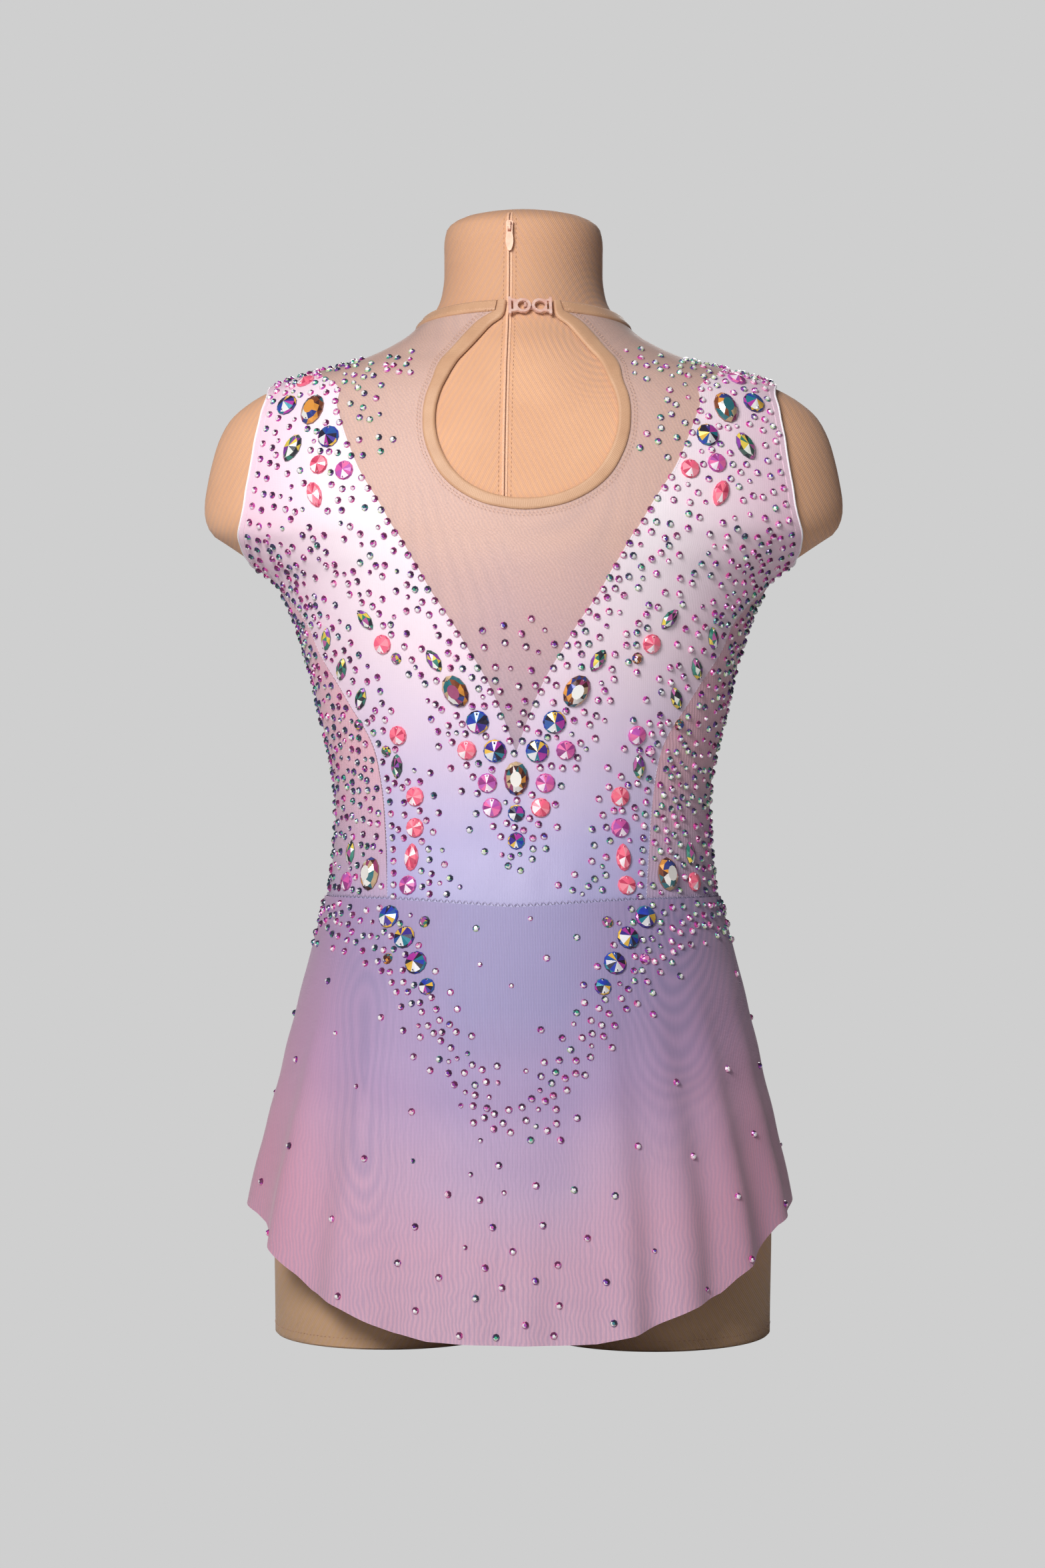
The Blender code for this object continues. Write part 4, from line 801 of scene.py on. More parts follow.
# Darker and more tan towards the foot of the stumps: painted shade, where the lamp's light falls off and the
# skirt shades them.
shade = tint(tree, shade, span(tree, pz, 0.11, 0.03), 0.85, (170, 140, 104))
arches = use_group(tree, nested, spot, Centre_x=0.052, Centre_z=0.612, Squash=0.9, Pitch=0.0036, Reach=0.05)
shade = tint(tree, shade, arches["Bands"], 0.34, (140, 124, 122))
shade = tint(tree, shade, rib, 0.20, (176, 148, 152))
shade = tint(tree, shade, soft["Fine"], 0.10, (200, 150, 120))
tree.links.new(shade, shader.inputs["Base Color"])
tree.links.new(sum_of(tree, "MULTIPLY_ADD", soft["Fine"], 0.2, 0.7), shader.inputs["Roughness"])
bump(tree, shader, sum_of(tree, "MULTIPLY_ADD", rib, 0.6, fine), 0.00012, 0.7)
print("material:", cover.name)

# %% [markdown]
# ## The form
#
# A dress form could be one sphere-like body sculpted by hand, but then the garment would not fit it. Here
# the same sections as the cloth's are meshed in fine rings, with a bridge between the thighs and two
# stumps below it, cut flat where the form stands.

# %% Body of the form
CROTCH = 16.0              # half width of the bridge between the thighs
CROTCH_DROP = 24.0         # how far it hangs under the first ring
THIGH = (80.0, -2.0, 72.0, 85.0)   # centre x, centre y, half width, half depth at the cut
HEM_STITCH = 0.91          # share of the stump's height, from its top, at which the cover's hem is stitched


def bridge(s):
    """The curve from the centre back, under the crotch, to the centre front."""
    a = math.pi * s
    lo, hi = TORSO[0][2], TORSO[0][3]
    y = (lo + hi) / 2 - (hi - lo) / 2 * math.copysign(abs(math.cos(a)) ** 0.5, math.cos(a))
    return y, TORSO[0][0] - CROTCH_DROP * math.sin(a) ** 0.5


def make_form():
    right = [rad(a) for a in np.linspace(6.0, 174.0, 57)]
    around = np.array([0.0] + right + [math.pi] + [-a for a in right[::-1]])
    heights = list(np.arange(70.0, 560.0, 4.5)) + list(np.arange(560.0, 676.0, 3.0))
    heights += [678.0, 680.5, 683.0, 685.4, 687.2, 688.6, 689.5]
    points, faces = [], []
    count = len(around)
    for z in heights:
        points += list(torso.point(around, np.full(count, float(torso.v_at(z)))))
    rows = len(heights)
    for r in range(rows - 1):
        for j in range(count):
            k = (j + 1) % count
            faces.append((r * count + j, r * count + k, (r + 1) * count + k, (r + 1) * count + j))
    points.append(np.array([0.0, 12.0, 690.0]))
    tip = len(points) - 1
    for j in range(count):
        faces.append(((rows - 1) * count + j, (rows - 1) * count + (j + 1) % count, tip))
    spans = 30
    strips = []
    ends = ((-CROTCH, count - 1, len(right) + 2), (0.0, 0, len(right) + 1), (CROTCH, 1, len(right)))
    for x, first, last in ends:
        strip = [first]
        for i in range(1, spans):
            y, z = bridge(0.5 - 0.5 * math.cos(math.pi * i / spans))
            points.append(np.array([x, y, z]))
            strip.append(len(points) - 1)
        strips.append(strip + [last])
    for a, b in zip(strips, strips[1:]):
        for i in range(spans):
            faces.append((a[i], a[i + 1], b[i + 1], b[i]))
    rings = []
    for side, strip in ((1, strips[2]), (-1, strips[0])):
        outside = list(range(1, len(right) + 1)) if side > 0 else list(range(count - 1, len(right) + 1, -1))
        loop = outside + strip[::-1][1:-1]
        top = np.array([points[i] for i in loop])
        across, along_y, half_wide, half_deep = THIGH
        order = np.unwrap(np.arctan2(side * (top[:, 0] - side * across) / half_wide,
                                     -(top[:, 1] - along_y) / half_deep))
        goal = np.stack([side * (across + half_wide * np.sin(order)), along_y - half_deep * np.cos(order),
                         np.zeros(len(order))], -1)
        previous = loop
        for s in (0.08, 0.17, 0.26, 0.35, 0.44, 0.53, 0.62, 0.7, 0.78, 0.85, HEM_STITCH, 0.955, 0.985, 1.0):
            w = s * s * (3 - 2 * s)
            level_points = top * (1 - w) + goal * w
            level_points[:, 2] = top[:, 2] * (1 - s)
            if s == 1.0:
                middle = [side * across, along_y]
                level_points[:, :2] = (level_points[:, :2] - middle) * 0.985 + middle
            if s == HEM_STITCH:
                rings.append(level_points.copy())
            ring = list(range(len(points), len(points) + len(loop)))
            points += list(level_points)
            for i in range(len(ring)):
                k = (i + 1) % len(ring)
                quad = (previous[i], ring[i], ring[k], previous[k])
                faces.append(quad if side > 0 else quad[::-1])
            previous = ring
        faces.append(tuple(previous[::-1]) if side > 0 else tuple(previous))
    cloud = np.array(points)
    cloud[:, 1] += MOVED_Y
    return new_piece("form_body", cloud * MM, faces, cover), rings


form_body, stump_rings = make_form()
sharpen(form_body, 50.0)
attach(form_body, BODY)
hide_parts("form")
print("form faces:", len(form_body.data.polygons))

# %% [markdown]
# ## Ribbons and stitches
#
# Bindings and the zip's tapes are narrow strips that follow a line. A curve with a bevel could make them,
# but it would not lean with the body. So a strip is swept here between two lines on the body, with a small
# rounded profile. Stitches are short spindles of thread laid end to end along a line, straight for a
# running stitch or stepping from side to side for a zigzag, and joined into one mesh a seam.

# %% Ribbon and stitch makers
def resample(line, count, surface=on_torso):
    """A line's points at an even spacing, and its length in millimetres."""
    line = np.array(line)
    spots = surface(line[:, 0], line[:, 1])[0]
    run = np.concatenate([[0.0], np.cumsum(np.linalg.norm(np.diff(spots, axis=0), axis=1))])
    s = np.linspace(0, run[-1], count)
    return np.stack([np.interp(s, run, line[:, 0]), np.interp(s, run, line[:, 1])], -1), run[-1]


ROUNDED = ((0.0, 0.0), (0.02, 0.62), (0.10, 0.9), (0.25, 1.0), (0.5, 0.92), (0.75, 1.0), (0.90, 0.9),
           (0.98, 0.62), (1.0, 0.0))
RIBBON_STEP = 2.0          # millimetres between two rows of a ribbon
FOLDED_SHARE = 0.6         # the part of a ribbon's faces that is cloth area, as it is folded with turnings


def ribbon(name, first, second, low, high, material, profile=ROUNDED):
    """A strip between two lines, whose top follows the profile: (share of the width, share of the height)."""
    length = resample(first, 2)[1]
    count = max(4, int(length / RIBBON_STEP))
    a = resample(first, count)[0]
    b = resample(second, count)[0]
    rows, uv = [], []
    wide = float(np.linalg.norm(on_torso(a[:1, 0], a[:1, 1])[0] - on_torso(b[:1, 0], b[:1, 1])[0]))
    shares = [(s, low) for s, _ in profile[::-1]] + [(s, low + (high - low) * h) for s, h in profile]
    for share, height in shares:
        spot = a * (1 - share) + b * share
        rows.append(lift(on_torso, spot[:, 0], spot[:, 1], np.full(count, height)))
        uv.append(np.stack([np.linspace(0, length, count), np.full(count, share * wide)], -1) * MM)
    rows, uv = np.array(rows), np.array(uv)
    around = len(shares)
    faces = []
    for i in range(count - 1):
        for j in range(around):
            n = (j + 1) % around
            faces.append((j * count + i, n * count + i, n * count + i + 1, j * count + i + 1))
    faces.append(tuple(j * count for j in range(around))[::-1])
    faces.append(tuple(j * count + count - 1 for j in range(around)))
    piece = new_piece(name, rows.reshape(-1, 3), faces, material)
    mesh = piece.data
    turn_outward(mesh)
    corners = np.zeros(len(mesh.loops), np.int32)
    mesh.loops.foreach_get("vertex_index", corners)
    uv = uv.reshape(-1, 2)[corners].astype(np.float32)
    mesh.uv_layers.new(name="cloth").data.foreach_set("uv", uv.ravel())
    sharpen(piece, 60.0)
    piece["cloth_area"] = sum(face.area for face in mesh.polygons) * FOLDED_SHARE
    piece["cloth_wide"] = length * MM
    piece["cloth_long"] = piece["cloth_area"] / (length * MM)
    return piece


def turn_outward(mesh):
    """Turns every face to look outward."""
    work = bmesh.new()
    work.from_mesh(mesh)
    bmesh.ops.recalc_face_normals(work, faces=work.faces)
    work.to_mesh(mesh)
    work.free()


def seated(lines, pitch):
    """For lines on the body, points twice a pitch and the way that the cloth faces at each."""
    for line in lines:
        count = max(2, int(resample(line, 2)[1] / pitch))
        dense = resample(line, count * 2 + 1)[0]
        yield on_torso(dense[:, 0], dense[:, 1])


def stitches(name, spots, height, long, material, swing=0.0, thick=0.3):
    """Thread over places: spindles of a length, with a swing to either side."""
    points, faces = [], []
    for where, out in spots:
        count = (len(where) - 1) // 2
        ahead = np.gradient(where, axis=0)
        ahead /= np.linalg.norm(ahead, axis=1, keepdims=True)
        side = np.cross(out, ahead)
        for k in range(count):
            i = 2 * k
            sway = swing if k % 2 else -swing
            middle = (where[i] + where[min(i + 1, len(where) - 1)]) / 2
            t, s, n = ahead[i], side[i], out[i]
            axis = t * long + s * sway * 2.0
            axis /= np.linalg.norm(axis)
            cross = np.cross(n, axis)
            half = math.hypot(long, sway * 2.0) / 2
            base = len(points)
            centre = middle + n * height
            points.append(centre - axis * half - n * thick * 0.5)
            for turn in range(4):
                a = math.pi / 2 * turn + math.pi / 4
                points.append(centre + cross * math.cos(a) * thick * 0.7 + n * math.sin(a) * thick * 0.7)
            points.append(centre + axis * half - n * thick * 0.5)
            for turn in range(4):
                n1, n2 = base + 1 + turn, base + 1 + (turn + 1) % 4
                faces += [(base, n2, n1), (base + 5, n1, n2)]
    cloud = np.array(points)
    cloud[:, 1] += MOVED_Y
    piece = new_piece(name, cloud * MM, faces, material)
    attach(piece, BODY)
    print(name, "stitches:", len(points) // 6)
    return piece


def thread_material(name, colour, dark):
    material, tree, shader = start_material(name, 0.55, Sheen_Weight=0.2)
    spot, _ = place_of(tree)
    soft = use_group(tree, grain, spot, Scale=80.0, Fine_scale=2200.0)
    two_tone(tree, shader, soft["Cloudy"], dark, colour)
    bump(tree, shader, soft["Fine"], 0.0001)
    return material


beige_thread = thread_material("beige_thread", (238, 196, 166), (206, 158, 128))
pearl_thread = thread_material("pearl_thread", (250, 242, 248), (206, 194, 214))
grey_thread = thread_material("grey_thread", (178, 164, 188), (122, 108, 138))
# This thread is darker than the cover as painted shadow along the stitch lines of the zip and of the stumps'
# hem.
shadowed_thread = thread_material("zip_shadow_thread", (190, 142, 112), (150, 108, 84))
print("threads:", 4)

# %% [markdown]
# ## The zip of the cover
#
# The cover closes at the centre back with a concealed zip. All that shows is a dark line between two pale
# lips and a row of stitches down each side. It could be painted on, but a lip that stands up catches the
# light. So two thin ribbons lie a little over the body, and a dark one lies in the gap between them; its
# dark colour is painted shadow of the gap.

# %% Zip lips and their stitches
def down_zip(x, top, foot):
    return along([back(ZIP_X + x, z) for z in np.linspace(top, foot, 30)], STEP)


# The strip in the gap is painted shadow: a dark finish where the gap between the lips lies in shade.
gap_shadow_finish, tree, shader = start_material("zip_gap_shadow", 0.9)
spot, (px, py, pz) = place_of(tree)
soft = use_group(tree, grain, spot, Scale=60.0, Fine_scale=1600.0)
two_tone(tree, shader, soft["Fine"], (96, 62, 50), (130, 92, 74))
lip_pale, tree, shader = start_material("zip_lip_knit", 0.7, Sheen_Weight=0.2)
spot, (px, py, pz) = place_of(tree)
soft = use_group(tree, grain, spot, Scale=40.0, Fine_scale=1600.0)
two_tone(tree, shader, soft["Fine"], (226, 172, 138), (240, 196, 164))
bump(tree, shader, soft["Fine"], 0.0001)
ZIP_TOP, ZIP_FOOT = 683.0, 362.0
for name, x0, x1, low, high, finish in (("zip_gap", -0.42, 0.42, -0.3, 0.16, gap_shadow_finish),
                                        ("zip_lip_left", -1.7, -0.25, -0.3, 0.42, lip_pale),
                                        ("zip_lip_right", 0.3, 1.8, -0.3, 0.5, lip_pale)):
    piece = ribbon(name, down_zip(x0, ZIP_TOP, ZIP_FOOT), down_zip(x1, ZIP_TOP, ZIP_FOOT), low, high, finish)
    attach(piece, BODY)
cover_rows = [down_zip(-3.6, ZIP_TOP - 4, ZIP_FOOT), down_zip(3.8, ZIP_TOP - 4, ZIP_FOOT)]
zip_stitches = stitches("zip_stitches", seated(cover_rows, 2.9), 0.15, 2.0, shadowed_thread)
hem_rows = []
for ring in stump_rings:
    loop = np.concatenate([ring, ring[:1]])
    run = np.concatenate([[0.0], np.cumsum(np.linalg.norm(np.diff(loop, axis=0), axis=1))])
    s = np.linspace(0, run[-1], 2 * int(run[-1] / 3.0) + 1)
    where = np.stack([np.interp(s, run, loop[:, k]) for k in range(3)], -1)
    middle = ring.mean(0)
    out = where - middle
    out[:, 2] = 0.0
    hem_rows.append((where, out / np.linalg.norm(out, axis=1, keepdims=True)))
hem_stitches = stitches("cover_hem_stitches", hem_rows, 0.12, 2.0, shadowed_thread, thick=0.34)

# %% [markdown]
# ## Pearl lycra
#
# The back, front and brief are two-way stretch lycra with a pearl finish. The dye runs from pearl white
# through lilac to a grey lavender at the waist. Very fine ribs give it its satin look. The roughness moves
# a little with a fine grain, which is what makes real lycra gleam unevenly.

# %% Lycra material
def lycra_material(name, stops, low, high):
    material, tree, shader = start_material(name, 0.42, Sheen_Weight=0.25, Sheen_Roughness=0.35,
                                            Specular_IOR_Level=0.55)
    spot, (px, py, pz) = place_of(tree)
    soft = use_group(tree, grain, spot, Scale=26.0, Fine_scale=1500.0)
    knit = use_group(tree, knit_lines, cloth_map(tree), Ribs_per_metre=1500.0, Rows_per_metre=1800.0)
    height = span(tree, sum_of(tree, "MULTIPLY_ADD", soft["Cloudy"], 0.03, pz), low + 0.015, high + 0.015)
    shade = ramp(tree, height, stops)
    outer = span(tree, sum_of(tree, "ABSOLUTE", px), 0.085, 0.16)
    shade = tint(tree, shade, outer, 0.60, (244, 192, 217))
    shade = tint(tree, shade, knit["Ribs"], 0.10, (170, 160, 190))
    tree.links.new(shade, shader.inputs["Base Color"])
    tree.links.new(sum_of(tree, "MULTIPLY_ADD", soft["Fine"], 0.16, 0.36), shader.inputs["Roughness"])
    bump(tree, shader, sum_of(tree, "MULTIPLY_ADD", soft["Fine"], 0.5, knit["Height"]), 0.00008, 0.8)
    return material


BODICE_DYE = (
    # height share from the waist to the shoulder, colour
    (0.0, (168, 163, 206)), (0.12, (184, 176, 217)), (0.30, (222, 204, 229)), (0.46, (242, 222, 234)),
    (0.68, (249, 238, 244)), (1.0, (249, 241, 247)),
)
BRIEF_DYE = ((0.0, (198, 186, 222)), (1.0, (182, 178, 216)))
lycra = lycra_material("pearl_lycra", BODICE_DYE, 0.262, 0.590)
lycra_brief = lycra_material("lavender_lycra", BRIEF_DYE, 0.07, 0.262)
print("materials:", lycra.name, lycra_brief.name)

# %% [markdown]
# ## Power mesh
#
# The yoke and the side panels are sheer stretch mesh over the form's beige. A sheer cloth could be a solid
# colour, but then the zip would not show through it. Part of each face is made see-through instead: unevenly
# on the yoke, and less along the threads than in the holes on the side panels. The side panels lie over a
# lining, so they are almost opaque.

# %% Mesh materials
power_mesh, tree, shader = start_material("pink_power_mesh", 0.6, Sheen_Weight=0.3, Sheen_Roughness=0.4)
spot, (px, py, pz) = place_of(tree)
soft = use_group(tree, grain, spot, Scale=30.0, Fine_scale=1200.0)
uv = cloth_map(tree)
knit = use_group(tree, knit_lines, uv, Ribs_per_metre=440.0, Rows_per_metre=900.0, Slant=0.5, Wander=0.0060)
bands = use_group(tree, watered, uv, Bands_per_metre=110.0, Warp=0.10, Spread=7.0, Amount=1.0)
height = span(tree, sum_of(tree, "MULTIPLY_ADD", soft["Cloudy"], 0.03, pz), 0.372, 0.60)
shade = ramp(tree, height, ((0.0, (206, 186, 206)), (0.25, (228, 196, 202)), (0.55, (244, 208, 194)),
                            (1.0, (234, 200, 186))))
shade = tint(tree, shade, knit["Ribs"], 0.20, (176, 164, 182))
shade = tint(tree, shade, bands["Bands"], 0.12, (176, 160, 172))
tree.links.new(shade, shader.inputs["Base Color"])
see = sum_of(tree, "MULTIPLY_ADD", soft["Fine"], 0.20, 0.46)
tree.links.new(see, shader.inputs["Alpha"])
bump(tree, shader, knit["Height"], 0.0001, 0.7)

panel_mesh, tree, shader = start_material("rose_panel_mesh", 0.55, Sheen_Weight=0.3, Sheen_Roughness=0.4)
spot, (px, py, pz) = place_of(tree)
soft = use_group(tree, grain, spot, Scale=30.0, Fine_scale=1200.0)
uv = cloth_map(tree)
knit = use_group(tree, knit_lines, uv, Ribs_per_metre=420.0, Rows_per_metre=900.0, Wander=0.0030)
height = span(tree, pz, 0.265, 0.47)
shade = ramp(tree, height, ((0.0, (194, 176, 210)), (0.12, (211, 183, 208)), (0.42, (247, 196, 209)),
                            (1.0, (253, 204, 215))))
shade = tint(tree, shade, knit["Ribs"], 0.30, (180, 150, 178))
tree.links.new(shade, shader.inputs["Base Color"])
tree.links.new(sum_of(tree, "MULTIPLY_ADD", knit["Height"], 0.15, 0.8), shader.inputs["Alpha"])
bump(tree, shader, knit["Height"], 0.00015, 0.8)
print("materials:", power_mesh.name, panel_mesh.name)

# %% [markdown]
# ## Skirt mesh
#
# The skirt is fine mesh dyed lavender at the waist and mauve at the hem and sides. Where two faces of a
# fine mesh are seen one through the other, slow curved bands appear, like watered silk. They could be left
# to two real layers of threads, but a picture has too few dots for those. So the nested bands group draws
# the U shapes and rings that lie over the flutes, and the watered look group a faint drift between them.

# %% Skirt material
skirt_mesh, tree, shader = start_material("ombre_skirt_mesh", 0.58, Sheen_Weight=0.35, Sheen_Roughness=0.45)
spot, (px, py, pz) = place_of(tree)
soft = use_group(tree, grain, spot, Scale=16.0, Fine_scale=1300.0)
uv = cloth_map(tree)
knit = use_group(tree, knit_lines, uv, Ribs_per_metre=370.0, Rows_per_metre=520.0, Wander=0.0060)
rings = use_group(tree, nested, spot, Centre_x=-0.088, Centre_z=0.165, Squash=0.22, Pitch=0.0046, Reach=0.030)
cups = use_group(tree, nested, spot, Centre_x=0.096, Centre_z=0.262, Squash=0.34, Pitch=0.0036, Reach=0.048)
fine_knit = use_group(tree, knit_lines, uv, Ribs_per_metre=1050.0, Rows_per_metre=1200.0)
bands = use_group(tree, watered, uv, Bands_per_metre=150.0, Warp=0.10, Spread=7.0, Amount=1.0)
aside = span(tree, sum_of(tree, "ABSOLUTE", px), 0.03, 0.16)
far_aside = span(tree, sum_of(tree, "ABSOLUTE", px), 0.10, 0.15)
where = sum_of(tree, "MULTIPLY_ADD", soft["Cloudy"], 0.05, pz)
where = sum_of(tree, "MULTIPLY_ADD", aside, -0.055, where)
shade = ramp(tree, span(tree, where, 0.02, 0.29),
             ((0.0, (218, 176, 196)), (0.22, (216, 170, 194)), (0.38, (200, 168, 200)),
              (0.55, (176, 154, 198)), (0.78, (150, 143, 190)), (1.0, (154, 148, 195))))
shade = tint(tree, shade, aside, 0.46, (212, 136, 164))
shade = tint(tree, shade, far_aside, 0.35, (208, 128, 156))
low_down = sum_of(tree, "MULTIPLY_ADD", span(tree, pz, 0.16, 0.04), 0.28, 0.10)
shade = tint(tree, shade, knit["Ribs"], low_down, (138, 132, 168))
shade = tint(tree, shade, rings["Bands"], 0.42, (128, 122, 166))
shade = tint(tree, shade, cups["Bands"], 0.50, (104, 106, 152))
shade = tint(tree, shade, bands["Bands"], 0.07, (140, 122, 160))
shade = tint(tree, shade, fine_knit["Ribs"], 0.12, (240, 220, 236))
tree.links.new(shade, shader.inputs["Base Color"])
tree.links.new(sum_of(tree, "MULTIPLY_ADD", fine_knit["Height"], 0.10, 0.86), shader.inputs["Alpha"])
bump(tree, shader, fine_knit["Height"], 0.00012, 0.8)
print("material:", skirt_mesh.name)

# %% [markdown]
# ## The yoke
#
# The back yoke is one piece of power mesh from the neck down to the point of the V, with the keyhole cut
# out of it. The front yoke is the same mesh. Both are cut by the seam lines above and lie a millimetre or
# so over the form. The front is made of coarser cells, because it lies smooth.

# %% Yoke pieces
L = LINES
LOW, HIGH = 1.45, 2.1      # the lycra's two faces, in millimetres over the form
MESH_LOW, MESH_HIGH = LOW - 0.3, HIGH - 0.3
yoke_line = join(L["neck_left"], L["shoulder_left"], L["v_left"], L["v_right"][::-1],
                 L["shoulder_right"][::-1], L["neck_right"][::-1], L["key_out_right"],
                 L["key_out_left"][::-1])
back_yoke = cut_cloth("yoke_back", yoke_line, on_torso, MESH_LOW, MESH_HIGH, power_mesh)
declare(back_yoke, "back_yoke")
front_yoke_line = join(L["front_neck"], mirrored(L["front_neck"], math.pi)[::-1],
                       mirrored(L["shoulder_right"], math.pi), mirrored(L["front_v"], math.pi),
                       L["front_v"][::-1], L["shoulder_right"][::-1])
front_yoke = cut_cloth("yoke_front", front_yoke_line, on_torso, MESH_LOW, MESH_HIGH, power_mesh, cell=5.0)
declare(front_yoke, "front_yoke")

# %% [markdown]
# ## The bodice
#
# The back bodice has two straps that meet under the V, and its edge rolls slightly at the armholes. The
# front bodice is plain. Both are pulled tight, so they have hardly any creases: only soft drag lines at the
# waist, where the lycra is gripped by the seam.

# %% Bodice pieces
def waist_drag(u, v):
    """Short ridges just over the waist seam, and slow waves across the small of the back."""
    z = torso.at(v)[..., 0]
    near_seam = np.exp(-((z - 278.0) / 13.0) ** 2)
    near_waist = np.exp(-((z - 330.0) / 40.0) ** 2)
    ridges = 0.28 * near_seam * np.sin(u * 23.0 + 1.1 * np.sin(u * 5.0))
    return ridges + 0.10 * np.sin(z * 0.21 + u * 3.0) * near_waist


bodice_line = join(L["strap_left"], L["arm_left"], L["princess_left"], on_waist(-waist_u, waist_u),
                   L["princess_right"][::-1], L["arm_right"][::-1], L["strap_right"][::-1], L["v_right"],
                   L["v_left"][::-1])
back_bodice = cut_cloth("bodice_back", bodice_line, on_torso, LOW, HIGH, lycra, relief=waist_drag)
declare(back_bodice, "back_bodice")
front_line = join(L["strap_right"][::-1], L["front_v"], mirrored(L["front_v"], math.pi)[::-1],
                  mirrored(L["strap_right"], math.pi), mirrored(L["front_arm"], math.pi),
                  mirrored(L["front_seam"], math.pi), on_waist(2 * math.pi - front_waist, front_waist),
                  L["front_seam"][::-1], L["front_arm"][::-1])
front_bodice = cut_cloth("bodice_front", front_line, on_torso, LOW, HIGH, lycra, cell=5.0, relief=waist_drag)
declare(front_bodice, "front_bodice")

# %% [markdown]
# ## The side panels
#
# A panel of lined mesh fills each side, from the armhole to the waist. One outline is drawn for the right
# and turned over for the left, as a cutter folds the cloth and cuts both at once.

# %% Side panels
side_line = join(L["princess_right"], on_waist(waist_u, front_waist), L["front_seam"][::-1], L["front_under"],
                 L["under_right"][::-1])
for tag, outline in (("right", side_line), ("left", mirrored(side_line)[::-1])):
    panel = cut_cloth("panel_" + tag, outline, on_torso, LOW, HIGH, panel_mesh, relief=waist_drag)
    declare(panel, "side_panel_" + tag)

# %% [markdown]
# ## Brief and gusset
#
# Under the skirt the leotard ends in a plain brief, closed between the legs by a narrow gusset. It shows
# only from below, so it is finished plainly in the same lycra.

# %% Brief pieces
crotch = (math.asin(14.0 / 153.0), float(torso.v_at(70.5)))
hip = along([(RIDGE, float(torso.v_at(table(WAIST, RIDGE)))), (RIDGE, float(torso.v_at(165.0)))], 6.0)
leg = along([(rad(a), float(torso.v_at(z))) for a, z in LEG_BACK] + [crotch], STEP)
brief_line = join(on_waist(-RIDGE, RIDGE), hip, leg, mirrored(leg)[::-1], mirrored(hip)[::-1])
brief_back = cut_cloth("brief_back_cloth", brief_line, on_torso, LOW, HIGH, lycra_brief, cell=6.0)
declare(brief_back, "brief_back")
leg = along([(rad(a), float(torso.v_at(z))) for a, z in LEG_FRONT] + [(math.pi - crotch[0], crotch[1])], STEP)
brief_line = join(on_waist(2 * math.pi - RIDGE, RIDGE), hip, leg, mirrored(leg, math.pi)[::-1],
                  mirrored(hip, math.pi)[::-1])
brief_front = cut_cloth("brief_front_cloth", brief_line, on_torso, LOW, HIGH, lycra_brief, cell=6.0)
declare(brief_front, "brief_front")


GUSSET_HALF = 13.8         # half its width, in millimetres


def make_gusset():
    """A strip that follows the curve under the crotch from the back brief to the front one."""
    spans, across = 40, np.linspace(-GUSSET_HALF, GUSSET_HALF, 9)
    under, over, run = [], [], [0.0]
    for i in range(spans + 1):
        s = 0.5 - 0.5 * math.cos(math.pi * i / spans)
        y, z = bridge(s)
        y0, z0 = bridge(max(s - 0.004, 0.0))
        y1, z1 = bridge(min(s + 0.004, 1.0))
        size = math.hypot(y1 - y0, z1 - z0)
        ny, nz = (z1 - z0) / size, -(y1 - y0) / size
        if i:
            run.append(run[-1] + math.hypot(y - last[0], z - last[1]))
        last = (y, z)
        for x in across:
            under.append((x, y + ny * LOW + MOVED_Y, z + nz * LOW))
            over.append((x, y + ny * HIGH + MOVED_Y, z + nz * HIGH))
    wide, layer = len(across), len(across) * (spans + 1)
    faces = []
    for i in range(spans):
        for j in range(wide - 1):
            a, b = i * wide + j, i * wide + j + 1
            faces += [(a, b, b + wide, a + wide), (a + layer, a + wide + layer, b + wide + layer, b + layer)]
    loop = list(range(wide)) + [i * wide + wide - 1 for i in range(1, spans + 1)]
    loop += [spans * wide + j for j in range(wide - 2, -1, -1)] + [i * wide for i in range(spans - 1, 0, -1)]
    faces += [(a, a + layer, b + layer, b) for a, b in zip(loop, loop[1:] + loop[:1])]
    piece = new_piece("gusset_cloth", np.array(under + over) * MM, faces, lycra_brief)
    turn_outward(piece.data)
    sharpen(piece)
    piece.data.uv_layers.new(name="cloth")
    corners = np.zeros(len(piece.data.loops), np.int32)
    piece.data.loops.foreach_get("vertex_index", corners)
    uv = np.array([(x, r) for r in run for x in across] * 2) * MM
    piece.data.uv_layers["cloth"].data.foreach_set("uv", uv[corners].astype(np.float32).ravel())
    piece["cloth_wide"], piece["cloth_long"] = 0.0276, run[-1] * MM
    piece["cloth_area"] = piece["cloth_wide"] * run[-1] * MM
    return piece


gusset = make_gusset()
declare(gusset, "gusset")

# %% [markdown]
# ## The skirt
#
# Skirt back and skirt front meet at side seams. The hem rises from the tail to the front. Each is cut like
# the other pieces, but on the fluted surface, so the shell keeps the flutes of its solid and adds the
# ripples that are too fine for it.

# %% Skirt pieces
SKIRT_SEAM = rad(97.0)      # the side seam, as an angle from the centre back
SKIRT_FACES = (0.25, 0.95)  # the mesh's two faces, in millimetres over the fluted surface


def skirt_outline(start, end, count):
    hem = level(HEM, start, end, count, skirt)
    top = [(u, float(skirt.v_at(table(WAIST, u) - 0.6))) for u in np.linspace(start, end, count)]
    left = [(start, v) for v in np.linspace(top[0][1], hem[0][1], 60)]
    right = [(end, v) for v in np.linspace(hem[-1][1], top[-1][1], 60)]
    return join(left, hem, right, top[::-1])


